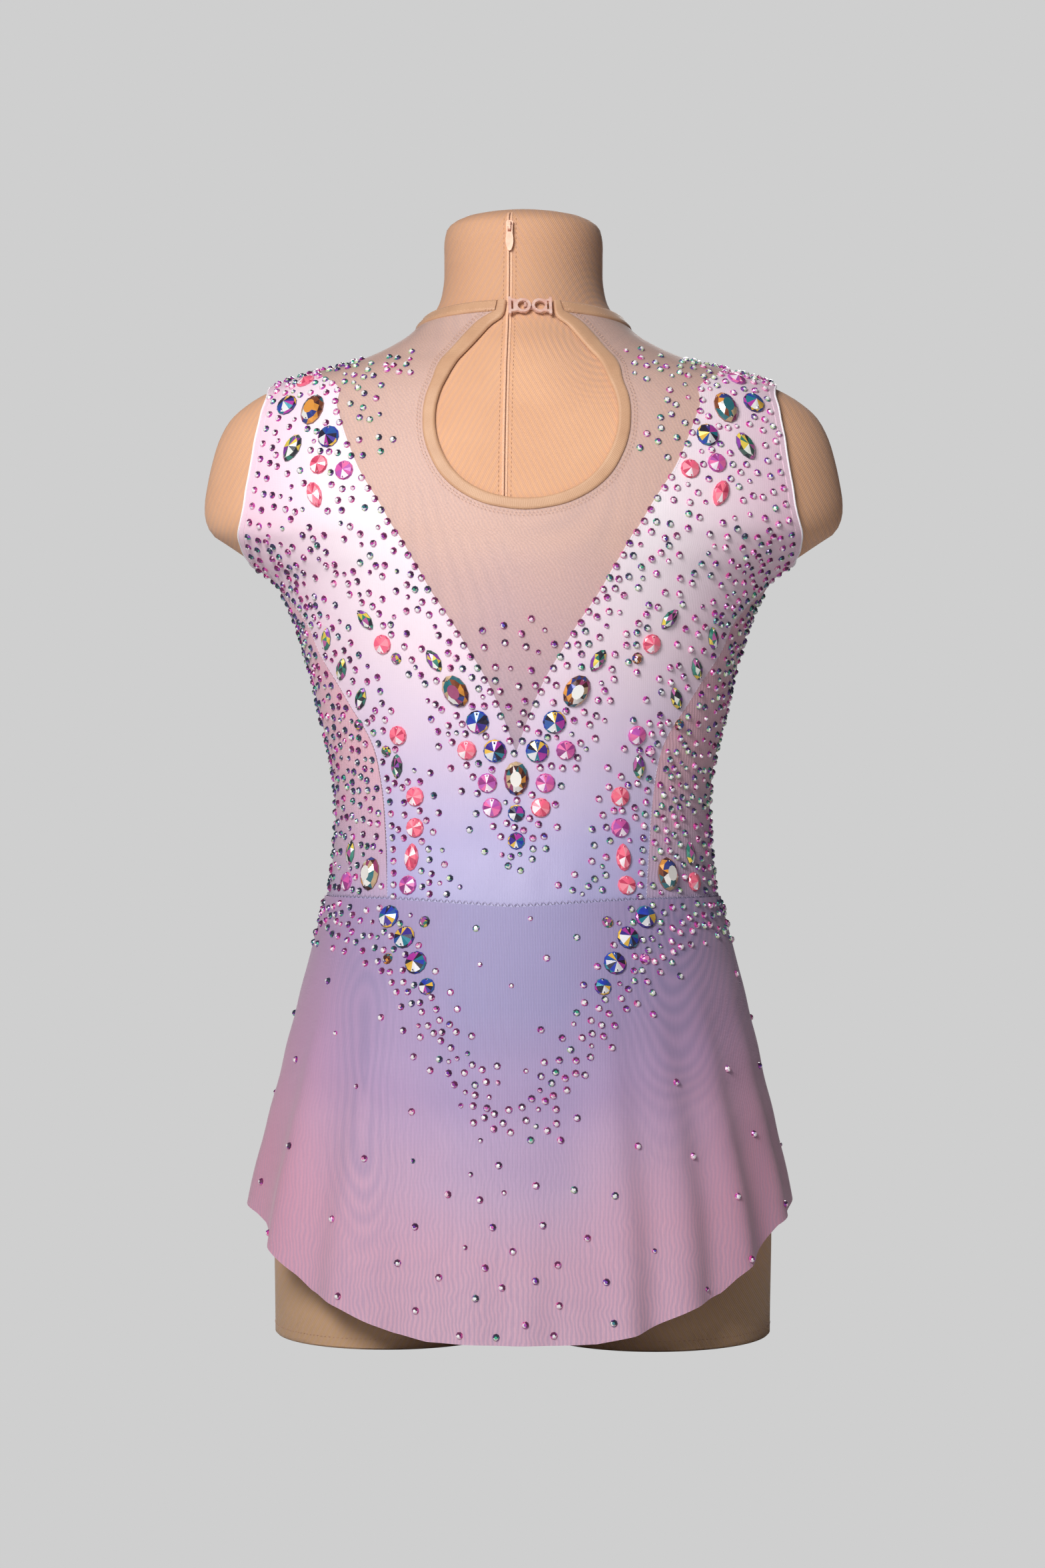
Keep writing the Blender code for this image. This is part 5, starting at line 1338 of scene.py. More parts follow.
skirt_back_line = skirt_outline(-SKIRT_SEAM, SKIRT_SEAM, 190)
skirt_back = cut_cloth("skirt_back_cloth", skirt_back_line, on_skirt, *SKIRT_FACES, skirt_mesh, cell=3.6)
declare(skirt_back, "skirt_back")
skirt_front_line = skirt_outline(SKIRT_SEAM, 2 * math.pi - SKIRT_SEAM, 170)
skirt_front = cut_cloth("skirt_front_cloth", skirt_front_line, on_skirt, *SKIRT_FACES, skirt_mesh, cell=4.2)
declare(skirt_front, "skirt_front")

# %% [markdown]
# ## Bindings
#
# The neck and the keyhole are bound with a strip of beige lycra folded double. It stands higher than the
# cloth and its edges are round, so it is a ribbon with a soft profile. The keyhole's strip runs past the
# neck seam at both ends, where the clasp is sewn in.

# %% Binding pieces
binding_cloth, tree, shader = start_material("beige_binding", 0.5, Sheen_Weight=0.3, Sheen_Roughness=0.4)
spot, (px, py, pz) = place_of(tree)
soft = use_group(tree, grain, spot, Scale=60.0, Fine_scale=1600.0)
knit = use_group(tree, knit_lines, cloth_map(tree), Ribs_per_metre=900.0, Rows_per_metre=1300.0)
shade = ramp(tree, soft["Cloudy"], ((0.3, (196, 151, 117)), (0.7, (209, 166, 131))))
shade = tint(tree, shade, knit["Ribs"], 0.14, (204, 158, 130))
tree.links.new(shade, shader.inputs["Base Color"])
bump(tree, shader, sum_of(tree, "MULTIPLY_ADD", soft["Fine"], 0.5, knit["Height"]), 0.0001, 0.8)

key_ends = {side: back(KEYHOLE_X + side * BINDING_END, NECK_BACK - 0.2)[0] for side in (-1, 1)}
key_inner = L["key_in_left"] + L["key_in_right"][::-1]
key_outer = ([neck(key_ends[-1], NECK_BAND)] + L["key_out_left"] + L["key_out_right"][::-1]
             + [neck(key_ends[1], NECK_BAND)])
keyhole_binding = ribbon("keyhole_edge", key_outer, key_inner, 1.25, 3.05, binding_cloth)
declare(keyhole_binding, "keyhole_binding")
around_neck = np.linspace(key_ends[1] + 0.004, key_ends[-1] + 2 * math.pi - 0.004, 80)
neck_foot = [neck(u) for u in around_neck]
neck_head = [neck(u, NECK_BAND) for u in around_neck]
neck_binding = ribbon("neck_edge", neck_foot, neck_head, 1.25, 3.0, binding_cloth)
declare(neck_binding, "neck_binding")

# %% [markdown]
# ## Sewing
#
# The mesh and the lycra are joined by small zigzags, the bindings by two rows of running stitch, and the
# skirt by a quiet zigzag at the waist. A satin band shows where the lycra is turned in at the armholes, with
# a raised rolled edge whose near-white colour is a painted highlight along it. Thread could be a bump in the
# material, but then it would be lost at a slant.

# %% Seams
def shift_line(line, distance, surface=on_torso):
    """The same line moved sideways over the cloth, to its left, in millimetres."""
    line = np.array(line)
    where, out = surface(line[:, 0], line[:, 1])
    ahead = np.gradient(where, axis=0)
    side = np.cross(out, ahead)
    side /= np.linalg.norm(side, axis=1, keepdims=True)
    e, g = 0.002, 0.4
    du = (surface(line[:, 0] + e, line[:, 1])[0] - surface(line[:, 0] - e, line[:, 1])[0]) / (2 * e)
    dv = (surface(line[:, 0], line[:, 1] + g)[0] - surface(line[:, 0], line[:, 1] - g)[0]) / (2 * g)
    moved = []
    for p, a, b, s in zip(line, du, dv, side):
        step = np.linalg.pinv(np.stack([a, b], -1)) @ (s * distance)
        moved.append((float(p[0] + step[0]), float(p[1] + step[1])))
    return moved


edge_v = [shift_line(L["v_left"], -0.9), shift_line(L["v_right"], 0.9)]
arm = [shift_line(L["arm_left"], 2.6), shift_line(L["arm_right"], -2.6), shift_line(L["under_left"], 2.6),
       shift_line(L["under_right"], -2.6), shift_line(L["front_arm"], 2.6),
       shift_line(mirrored(L["front_arm"]), -2.6)]
IN_FROM_EDGE = 1.6         # the running stitch of a binding, in millimetres from its edge
bound = [shift_line(key_outer, -IN_FROM_EDGE), shift_line(key_outer, -2 * IN_FROM_EDGE),
         [neck(u, IN_FROM_EDGE) for u in around_neck],
         [neck(u, NECK_BAND - IN_FROM_EDGE) for u in around_neck]]
princess = [L["princess_left"], L["princess_right"]]
SEAMS = (
    # name, lines, millimetres from stitch to stitch, height, stitch, thread, swing, thickness
    ("v_seam_zigzag", edge_v, 1.5, HIGH, 1.5, pearl_thread, 0.7, 0.3),
    ("armhole_zigzag", arm, 2.0, HIGH + 0.2, 2.0, pearl_thread, 1.1, 0.3),
    ("binding_stitches", bound, 2.5, 2.98, 1.7, beige_thread, 0.0, 0.28),
    ("waist_zigzag", [on_waist(-math.pi, math.pi)], 1.9, HIGH + 0.9, 1.9, grey_thread, 1.3, 0.34),
    ("princess_zigzag", princess, 2.0, HIGH + 0.05, 1.8, pearl_thread, 0.8, 0.28),
)
sewing = [stitches(name, seated(lines, pitch), height, long, thread, swing, thick)
          for name, lines, pitch, height, long, thread, swing, thick in SEAMS]
# The armhole's rolled edge is coloured near white as a painted highlight along the roll.
highlight_edge, tree, shader = start_material("rolled_edge_highlight", 0.4, Sheen_Weight=0.2, Sheen_Roughness=0.4)
spot, (px, py, pz) = place_of(tree)
soft = use_group(tree, grain, spot, Scale=40.0, Fine_scale=1800.0)
two_tone(tree, shader, soft["Fine"], (246, 240, 246), (255, 252, 255))
bump(tree, shader, soft["Fine"], 0.00006, 0.7)
FLAT_BAND = ((0.0, 0.0), (0.04, 0.8), (0.5, 1.0), (0.96, 0.8), (1.0, 0.0))
ARM_EDGES = (
    # name, from and to in millimetres in from the edge, under and over the form, finish, profile
    ("arm_turning", 0.3, 4.6, HIGH - 0.3, HIGH + 0.35, lycra, FLAT_BAND),
    # The rolled edge: its near-white finish is a painted highlight.
    ("arm_edge_highlight", 0.1, 1.2, HIGH - 0.4, HIGH + 0.75, highlight_edge, ROUNDED),
)
for tag, side in (("left", 1.0), ("right", -1.0)):
    for part, line in (("back", L["arm_" + tag]), ("under", L["under_" + tag])):
        for name, near, far, low, high, finish, profile in ARM_EDGES:
            edge = ribbon("%s_%s_%s" % (name, part, tag), shift_line(line, side * near),
                          shift_line(line, side * far), low, high, finish, profile)
            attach(edge, BODY)
print("armhole edges:", 2 * 2 * len(ARM_EDGES))

# %% [markdown]
# ## Clasp and zip pull
#
# The clasp is moulded clear rose plastic, and the slider and its pull are peach-coated metal. Their solids
# are right as they stand, so they stay and only get better materials.

# %% Clasp and pull materials
rose_plastic, tree, shader = start_material("rose_clear_plastic", 0.08, IOR=1.46, Coat_Weight=1.0,
                                            Coat_Roughness=0.03, Transmission_Weight=0.3)
spot, (px, py, pz) = place_of(tree)
soft = use_group(tree, grain, spot, Scale=240.0, Fine_scale=2000.0)
two_tone(tree, shader, soft["Cloudy"], (240, 184, 168), (255, 226, 214))
bump(tree, shader, soft["Cloudy"], 0.0003, 0.4)
peach_coat, tree, shader = start_material("peach_coated_metal", 0.32, Coat_Weight=0.3, Coat_Roughness=0.15)
spot, (px, py, pz) = place_of(tree)
soft = use_group(tree, grain, spot, Scale=300.0, Fine_scale=3000.0)
two_tone(tree, shader, soft["Cloudy"], (238, 184, 156), (250, 208, 182))
bump(tree, shader, soft["Fine"], 0.00006, 0.6)
for name, finish in (("clasp_eye", rose_plastic), ("clasp_hook", rose_plastic), ("zip_slider", peach_coat),
                     ("zip_pull", peach_coat)):
    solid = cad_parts[name]
    solid.data.materials.clear()
    solid.data.materials.append(finish)
print("finished solids: clasp and zip")

# %% [markdown]
# ## Crystals
#
# Crystals are glued on by the hundred. Each is a faceted dome with foil behind it, whose coating splits the
# light into several colours. One shader could not tell the facets apart, so every facet carries its own
# colour in an attribute, taken from a short palette, and the shader makes it bright and glossy. Part of that
# colour is
# painted light: white flashes are painted highlights and dark facets are painted shade.

# %% Crystal cutter
FACET = "facet"


def crystal_material(name, metallic, roughness):
    material, tree, shader = start_material(name, roughness, Coat_Weight=0.3, Coat_Roughness=0.03)
    colour = node(tree, "ShaderNodeAttribute", attribute_name=FACET)
    spot, _ = place_of(tree)
    soft = use_group(tree, grain, spot, Scale=420.0, Fine_scale=4000.0)
    shade = tint(tree, colour.outputs["Color"], soft["Cloudy"], 0.05, (255, 240, 250))
    tree.links.new(shade, shader.inputs["Base Color"])
    shader.inputs["Metallic"].default_value = metallic
    tree.links.new(sum_of(tree, "MULTIPLY_ADD", soft["Fine"], 0.06, roughness), shader.inputs["Roughness"])
    return material


crystal = crystal_material("foiled_crystal", 0.2, 0.12)
opal = crystal_material("pink_opal", 0.0, 0.16)
PALETTES = {
    # rim, dark side: painted shade and dark reflections, middle tones, flash: painted highlight
    "blush": ((212, 52, 150), (96, 14, 76),
              ((240, 140, 196), (186, 60, 190), (250, 200, 224), (160, 50, 170)), (255, 252, 255)),
    "wine": ((160, 22, 120), (52, 8, 56),
             ((206, 70, 176), (116, 30, 170), (240, 176, 212), (80, 60, 190)), (255, 252, 255)),
    "meadow": ((96, 60, 140), (18, 36, 60),
               ((50, 180, 140), (150, 50, 180), (200, 226, 170), (20, 120, 130)), (255, 254, 255)),
    "night": ((60, 50, 120), (18, 14, 50),
              ((26, 62, 190), (10, 130, 150), (190, 50, 170), (60, 40, 150), (250, 200, 70), (30, 90, 170)),
              (252, 252, 255)),
    "champagne": ((150, 110, 90), (70, 30, 22),
                  ((236, 158, 60), (130, 66, 30), (30, 110, 120), (210, 180, 140), (160, 60, 110),
                   (40, 60, 140)),
                  (255, 252, 246)),
    "leaf": ((80, 96, 100), (24, 34, 44),
             ((36, 130, 110), (240, 214, 80), (140, 60, 170), (60, 90, 80), (190, 90, 160)), (250, 255, 246)),
    "coral": ((236, 110, 140), (206, 60, 96), ((255, 116, 140), (250, 100, 134), (255, 150, 168)),
              (255, 240, 246)),
    "orchid": ((200, 100, 186), (150, 50, 130), ((214, 84, 166), (190, 84, 180), (236, 110, 170)),
               (255, 240, 252)),
}
TINY_RINGS = ((1.0, 0.0), (1.0, 0.14), (0.76, 0.62), (0.38, 1.0))
KINDS = {
    # width, height, rise over the cloth, sides, pointed top, pointed foot, palettes,
    # rings as (share of the radius, share of the rise), closed with a flat table
    "round": (14.0, 14.0, 4.6, 12, 0.0, 0.0, ("night",), ((1.0, 0.0), (1.0, 0.2), (0.88, 0.40)), False),
    "pink": (11.8, 11.8, 3.4, 12, 0.0, 0.0, ("coral", "coral", "orchid"),
             ((1.0, 0.0), (1.0, 0.24), (0.88, 0.5)), False),
    "small": (10.4, 10.4, 3.2, 10, 0.0, 0.0, ("night",), ((1.0, 0.0), (1.0, 0.2), (0.86, 0.42)), False),
    "oval": (14.8, 20.4, 5.4, 12, 0.0, 0.0, ("champagne",),
             ((1.0, 0.0), (1.0, 0.2), (0.80, 0.6), (0.46, 0.95)), True),
    "navette": (8.4, 15.0, 3.4, 10, 1.0, 1.0, ("leaf",), ((1.0, 0.0), (1.0, 0.2), (0.70, 0.65)), False),
    "drop": (11.0, 18.0, 4.6, 12, 0.0, 1.0, ("leaf", "champagne"),
             ((1.0, 0.0), (1.0, 0.2), (0.76, 0.62)), False),
    "pinkdrop": (9.6, 16.6, 3.6, 12, 0.0, 1.0, ("coral",), ((1.0, 0.0), (1.0, 0.22), (0.8, 0.6)), False),
    "chaton": (7.2, 7.2, 2.8, 10, 0.0, 0.0, ("champagne", "blush", "leaf"),
               ((1.0, 0.0), (1.0, 0.16), (0.74, 0.6), (0.4, 1.0)), True),
    "bead": (4.5, 4.5, 2.0, 8, 0.0, 0.0, ("blush",), TINY_RINGS, True),
    "seed": (3.2, 3.2, 1.5, 8, 0.0, 0.0, ("blush",), TINY_RINGS, True),
}
SMALL_KINDS = ("bead", "seed")
print("kinds of stone:", len(KINDS), "palettes:", len(PALETTES))

# %% [markdown]
# ## How a stone is cut
#
# A crystal could be a sphere with few sides, but cut stones have a rim, a band of facets and a table or a
# point. So each kind is built from rings: the rim at the cloth, the girdle over it, then rings that step half
# a facet round, as on a real cut. Sew-on stones also have two threaded holes, whose walls are painted white
# as a painted highlight and whose foot is painted dark as shade. Rule by rule, a facet that faces a set glint
# side of the stone is painted as a white flash, a painted highlight; one that faces away is painted dark, as
# painted shade, and the rest take turns through the palette.

# %% Cut and colour one stone
RIM, HOLE_WALL, HOLE_FOOT = 0, -1, -2      # marks of the faces that are not facets


def cut_shape(kind):
    """A crystal as points, faces and each face's (ring, angle): rings that step half a side round."""
    width, height, rise, sides, top, foot, _, rings, table_top = KINDS[kind]
    points, faces, notes = [], [], []
    for k, (share, lift_share) in enumerate(rings):
        for i in range(sides):
            a = 2 * math.pi * (i + (0.5 if k == 2 else 0.0)) / sides + math.pi / 2
            x, y = math.cos(a) * width / 2, math.sin(a) * height / 2
            x *= 1.0 - (top if y > 0 else foot) * 0.32 * abs(math.sin(a)) ** 2
            points.append((x * share, y * share, rise * lift_share))
    for k in range(len(rings) - 1):
        for i in range(sides):
            j = (i + 1) % sides
            a, b, c, d = k * sides + i, k * sides + j, (k + 1) * sides + j, (k + 1) * sides + i
            if k == RIM:
                made = [(a, b, c, d)]
            else:
                made = [(a, b, d), (b, c, d)] if k % 2 else [(a, b, c), (a, c, d)]
            faces += made
            notes += [(k, 2 * math.pi * (i + 0.5) / sides + math.pi / 2)] * len(made)
    last, deep = (len(rings) - 1) * sides, len(rings)
    if table_top:
        faces.append(tuple(last + i for i in range(sides)))
        notes.append((deep, 0.0))
    else:
        points.append((0.0, 0.0, rise))
        faces += [(last + i, last + (i + 1) % sides, len(points) - 1) for i in range(sides)]
        notes += [(deep, 2 * math.pi * (i + 0.5) / sides + math.pi / 2) for i in range(sides)]
    if kind not in SMALL_KINDS and kind != "chaton":
        for way in (-1.0, 1.0):
            centre = (0.0, way * height * 0.37)
            base = len(points)
            for i in range(6):
                a = math.pi / 3 * i
                points.append((centre[0] + math.cos(a) * 0.75, centre[1] + math.sin(a) * 0.75, rise * 0.35))
                points.append((centre[0] + math.cos(a) * 0.5, centre[1] + math.sin(a) * 0.5, rise * 0.72))
            for i in range(6):
                j = (i + 1) % 6
                faces.append((base + 2 * i, base + 2 * j, base + 2 * j + 1, base + 2 * i + 1))
                notes.append((HOLE_WALL, 0.0))
            faces.append(tuple(base + 2 * i + 1 for i in range(6)))
            notes.append((HOLE_FOOT, 0.0))
    return np.array(points), faces, notes


SHAPES = {kind: cut_shape(kind) for kind in KINDS}
# A set angle in each stone's own frame, not taken from the lamps: facets turned towards it get the painted
# highlight, facets turned away the painted shade.
GLINT = rad(235.0)         # the side on which most stones flash, seen from the front of each stone


def facet_colour(kind, palette, ring, angle, chance, state):
    """The sRGB colour of one face, from where it stands on the stone and which way it looks: a painted
    highlight on the glint side, painted shade away from it.
    """
    rim, dark, middle, flash = PALETTES[palette]
    # Hole walls take the painted highlight and the hole's foot the painted shade.
    if ring in (RIM, HOLE_WALL, HOLE_FOOT):
        return {RIM: rim, HOLE_WALL: flash, HOLE_FOOT: dark}[ring]
    # How far the facet turns to the glint side: the painted highlight lies that way and the painted shade the
    # other.
    facing = math.cos(angle - state["glint"])
    # Small stones: the table is mostly a painted highlight, and lower facets turned away are painted shade.
    if kind in SMALL_KINDS:
        if ring >= 3:
            return middle[state["first"] % len(middle)] if chance.random() < 0.4 else flash
        if facing < (-0.5 if ring == 1 else -0.1):
            return dark
        if ring == 1:
            return middle[2] if facing > 0.85 else chance.choice((rim, rim, middle[0], middle[1]))
        return flash if facing > 0.35 else chance.choice(middle)
    # About half of the ovals have a table painted as a highlight.
    if kind == "oval" and ring == len(KINDS[kind][7]):
        return flash if state["first"] % 2 else middle[state["first"] % len(middle)]
    # Large stones: facets turned well towards the glint side are a painted highlight.
    if ring >= 2 and facing > 0.86:
        return flash
    # Some facets are painted dark at random, as painted dark reflections.
    if chance.random() < 0.22:
        return dark
    step = int((angle + state["turn"]) / 0.9)
    return middle[(step + state["first"] + (ring == 1)) % len(middle)]


print("stones cut:", len(SHAPES))

# %% [markdown]
# ## How stones are set
#
# Hundreds of separate objects would be slow to handle. All stones of one group become one mesh instead:
# each shape is turned, laid on the cloth's own plane where it sits, and joined to the rest.

# %% Setter of stones
def set_crystals(name, stones, surface, base, material, seed):
    """One mesh from stones named by kind, angle, length along the body, turn and palette."""
    chance = random.Random(seed)
    points, faces, tints = [], [], []
    u = np.array([s[1] for s in stones])
    v = np.array([s[2] for s in stones])
    where, out = surface(u, v)
    right = surface(u + 0.002, v)[0] - surface(u - 0.002, v)[0]
    right /= np.linalg.norm(right, axis=1, keepdims=True)
    up = np.cross(out, right)
    start = 0
    for i, (kind, _, _, turn, palette) in enumerate(stones):
        shape, sides, notes = SHAPES[kind]
        t = rad(turn)
        x = shape[:, 0] * math.cos(t) - shape[:, 1] * math.sin(t)
        y = shape[:, 0] * math.sin(t) + shape[:, 1] * math.cos(t)
        z = shape[:, 2] + base
        points.append(where[i] + right[i] * x[:, None] + up[i] * y[:, None] + out[i] * z[:, None])
        palette = palette or chance.choice(KINDS[kind][6])
        # Each stone's side for the painted highlight, turned with the stone and a little at random.
        state = {"glint": GLINT - t + chance.uniform(-0.9, 0.9), "first": chance.randrange(6),
                 "turn": chance.uniform(0.0, 6.0)}
        for face, (ring, angle) in zip(sides, notes):
            faces.append(tuple(start + n for n in face))
            colour = facet_colour(kind, palette, ring, angle, chance, state)
            shine = chance.uniform(0.86, 1.06)
            tints.append([min(1.0, c * shine) for c in tone(*colour)] + [1.0])
        start += len(shape)
    cloud = np.concatenate(points)
    cloud[:, 1] += MOVED_Y
    piece = new_piece(name, cloud * MM, faces, material, smooth=False)
    layer = piece.data.color_attributes.new(FACET, "FLOAT_COLOR", "CORNER")
    counts = [len(f) for f in faces]
    layer.data.foreach_set("color", np.repeat(np.array(tints, np.float32), counts, axis=0).ravel())
    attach(piece, BODY)
    print(name, "stones:", len(stones), "faces:", len(faces))


print("setter of stones: ready, they flash towards", round(math.degrees(GLINT)), "degrees")

# %% [markdown]
# ## Large stones
#
# The large stones are set out in pairs, the same on both sides of the centre line, with a few on it. Their
# kinds follow ordinary sew-on stones: rounds with a point, ovals, drops, leaf shapes and pink opals.

# %% Pairs of large stones
STONES = (
    # kind, x from the centre line, z, turn from upright
    ("oval", 0.0, 339.6, 0.0), ("small", 0.0, 318.6, 0.0), ("small", 0.0, 302.0, 0.0),
    ("round", 22.5, 373.1, 0.0), ("round", 12.4, 356.0, 0.0), ("oval", 35.5, 391.4, -30.0),
    ("navette", 48.1, 409.4, -32.0), ("pink", 29.0, 356.4, 0.0), ("pink", 17.0, 336.8, 0.0),
    ("pink", 14.2, 322.0, 0.0), ("navette", 89.8, 434.4, -40.0), ("pink", 79.3, 419.6, 0.0),
    ("navette", 115.0, 424.0, 24.0), ("navette", 105.4, 405.6, 28.0), ("navette", 93.4, 387.6, 28.0),
    ("pink", 70.4, 365.4, 0.0), ("navette", 71.4, 346.8, 6.0), ("pink", 60.4, 328.6, 0.0),
    ("pink", 60.4, 309.8, 0.0), ("pinkdrop", 62.4, 292.0, 180.0), ("pink", 64.4, 275.2, 0.0),
    ("oval", 88.0, 281.6, 0.0), ("navette", 101.0, 294.0, 0.0), ("pink", 103.4, 276.6, 0.0),
    ("round", 140.0, 564.2, 0.0), ("oval", 123.4, 560.4, 8.0), ("round", 112.6, 543.4, 0.0),
    ("drop", 135.2, 537.4, 24.0), ("pink", 118.2, 526.8, 0.0), ("pink", 102.4, 522.8, 0.0),
    ("pinkdrop", 120.4, 508.6, -24.0), ("pink", 130.0, 579.0, 0.0), ("chaton", 71.0, 411.0, 0.0),
    ("chaton", 78.0, 356.0, 0.0), ("chaton", 95.0, 372.0, 0.0),
)
SKIRT_STONES = (("round", 76.0, 256.6, 0.0), ("round", 66.0, 244.6, 0.0), ("round", 58.4, 230.0, 0.0),
                ("small", 51.6, 216.4, 0.0), ("chaton", 54.0, 254.0, 0.0), ("chaton", 76.0, 232.0, 0.0))


def in_pairs(rows, sections=None):
    """The stones on both sides of the centre line, as (kind, angle, length, turn, palette)."""
    return [(kind, *back(CENTRE_X + side * x, z, sections), side * turn, None)
            for kind, x, z, turn in rows for side in ((1,) if x == 0 else (-1, 1))]


large = in_pairs(STONES)
large_skirt = in_pairs(SKIRT_STONES, skirt)
OPALS = ("pink", "pinkdrop")
GLUED = 0.85               # foot of a stone over the skirt's surface, just under the mesh's upper face
set_crystals("large_crystals", [s for s in large if s[0] not in OPALS], on_torso, HIGH - 0.1, crystal, 11)
set_crystals("pink_opals", [s for s in large if s[0] in OPALS], on_torso, HIGH - 0.1, opal, 12)
set_crystals("skirt_crystals", large_skirt, on_skirt, GLUED, crystal, 13)

# %% [markdown]
# ## Small stones
#
# Some 1,500 small stones cover the straps and run in streams to the waist. They are not placed one by one.
# Streams are drawn first, and the rule is that stones stand close on a stream and thin out away from it.

# %% How close the stones stand
def near_path(x, z, path, width):
    """1 on a path of (x, z) points and falling to 0 away from it."""
    best = 1e9
    for (ax, az), (bx, bz) in zip(path, path[1:]):
        dx, dz = bx - ax, bz - az
        t = max(0.0, min(1.0, ((x - ax) * dx + (z - az) * dz) / (dx * dx + dz * dz)))
        best = min(best, math.hypot(x - ax - t * dx, z - az - t * dz))
    return math.exp(-(best / width) ** 2)


STREAMS = (
    # path of a stream of stones as (x from the centre line, z), its half width
    (((111, 502), (84, 470), (63, 450), (42, 424), (30, 392), (18, 362)), 8.0),
    (((134, 498), (120, 481), (108, 465), (92, 450), (75, 433), (60, 408), (42, 370), (24, 345), (8, 322)),
     8.0),
    (((152, 488), (139, 466), (128, 448), (116, 431), (104, 409), (91, 388), (80, 350), (74, 300), (70, 270)),
     14.0),
    (((44, 396), (28, 362), (12, 330), (3, 300)), 17.0),
    (((75, 282), (58, 276), (40, 276)), 12.0),
    (((64, 336), (58, 305), (52, 280)), 14.0),
)


def bodice_pitch(x, z):
    """Millimetres from one stone to the next at a place on the back."""
    x = abs(x - CENTRE_X)
    crowd = max(near_path(x, z, path, width) for path, width in STREAMS)
    if z > 500.0:
        crowd = max(crowd, 0.88 if z > 530.0 else 0.74)
    crowd = max(crowd, near_path(x, z, [(a + 7.0, b) for a, b in V_EDGE[3:]], 6.0) * 0.9)
    if crowd < 0.32:
        return 19.0 if z > 345.0 or x > 60.0 else 34.0
    return 5.6 + 8.0 * (1.0 - crowd) ** 1.3


def yoke_pitch(x, z):
    x = abs(x - CENTRE_X)
    crowd = near_path(x, z, ((106, 588), (94, 570), (88, 552), (84, 540)), 11.0)
    crowd = max(crowd, near_path(x, z, ((96, 582), (80, 584), (68, 588)), 9.0) * 0.96)
    crowd = max(crowd, near_path(x, z, ((0, 412), (0, 366)), 24.0) * 0.84)
    return 0.0 if crowd < 0.26 else 6.0 + 8.5 * (1.0 - crowd) ** 1.2


def panel_pitch(x, z):
    x = abs(x)
    crowd = 0.80 + 0.20 * near_path(x, z, ((150, 468), (124, 420), (98, 370), (84, 310), (80, 270)), 16.0)
    return 6.1 + 5.5 * (1.0 - crowd)


def skirt_pitch(x, z):
    x = abs(x - CENTRE_X)
    crowd = near_path(x, z, ((96, 252), (68, 225), (45, 194), (27, 163), (15, 142)), 21.0)
    crowd = max(crowd, near_path(x, z, ((138, 260), (104, 256), (72, 246)), 22.0))
    crowd = max(crowd, near_path(x, z, ((10, 140), (16, 60), (20, 12)), 40.0) * 0.36)
    if x > 60.0 and crowd < 0.2:
        return 42.0
    return 26.0 if crowd < 0.3 else 6.0 + 24.0 * (1.0 - crowd) ** 1.8


print("streams:", len(STREAMS))

# %% [markdown]
# ## Scatter by rule
#
# Points thrown at random clump. Each new point is therefore kept only where it is farther from all the kept
# ones than the pitch at that place, give or take a little, which is how a hand sets stones by eye. The places
# of the large stones are closed to small ones, and so is a narrow strip along the cloth's edge.

# %% Scatter
STONE_ROOM = 2.3           # millimetres from a large stone's rim to the middle of a small one
EDGE_ROOM = 3.4            # and from the edge of the cloth
BACK_Y, ROW_Y = 20.0, 45.0     # no scattered stone, and no row of them, goes farther round to the front
SEED_SHARE = 0.16          # of the small stones are of the smallest kind


def seat(stone, surface):
    return surface(np.array([stone[1]]), np.array([stone[2]]))[0][0]


def closed_to_small(big, surface):
    """Where the large stones sit, and how much room each one takes."""
    return [(seat(s, surface), max(KINDS[s[0]][:2]) / 2 + STONE_ROOM) for s in big]


def scatter(outline, surface, pitch, seed, big, tries, start, green):
    """Small stones inside an outline, after the ones to start with; green is the share of green ones."""
    outline = np.array(outline)
    flat = np.stack([outline[:, 0] * ROUND, outline[:, 1]], -1)
    rng = np.random.default_rng(seed)
    spots = rng.uniform(flat.min(0), flat.max(0), (tries, 2))
    spots = spots[inside(flat, spots)]
    where, _ = surface(spots[:, 0] / ROUND, spots[:, 1])
    edge, _ = surface(outline[:, 0], outline[:, 1])
    blocked = closed_to_small(big, surface)
    kept = [seat(s, surface) for s in start]
    found = list(start)
    chance = random.Random(seed)
    for (fx, fv), p in zip(spots, where):
        reach = pitch(float(p[0]), float(p[2]))
        if reach <= 0.0 or p[1] > BACK_Y:
            continue
        if kept and np.linalg.norm(np.array(kept) - p, axis=1).min() < reach * chance.uniform(0.82, 1.12):
            continue
        if any(np.linalg.norm(p - c) < r for c, r in blocked):
            continue
        if np.linalg.norm(edge - p, axis=1).min() < EDGE_ROOM:
            continue
        kept.append(p)
        kind = "seed" if chance.random() < SEED_SHARE else "bead"
        share = green(float(p[0]), float(p[2]))
        palette = "meadow" if chance.random() < share else chance.choice(("blush", "blush", "wine"))
        found.append((kind, fx / ROUND, fv, chance.uniform(0, 45.0), palette))
    return found


def row_of(line, pitch, big):
    """Small stones at an even pitch along a line on the body, but not under the large ones."""
    count = max(2, int(resample(line, 2)[1] / pitch))
    spots = resample(line, count)[0]
    chance = random.Random(count)
    where = on_torso(spots[:, 0], spots[:, 1])[0]
    blocked = closed_to_small(big, on_torso)
    row = []
    for (u, v), p in zip(spots, where):
        if all(np.linalg.norm(p - c) >= r for c, r in blocked) and p[1] < ROW_Y:
            turn, palette = chance.uniform(0, 45.0), chance.choice(("blush", "wine", "blush", "meadow"))
            row.append(("bead", float(u), float(v), turn, palette))
    return row


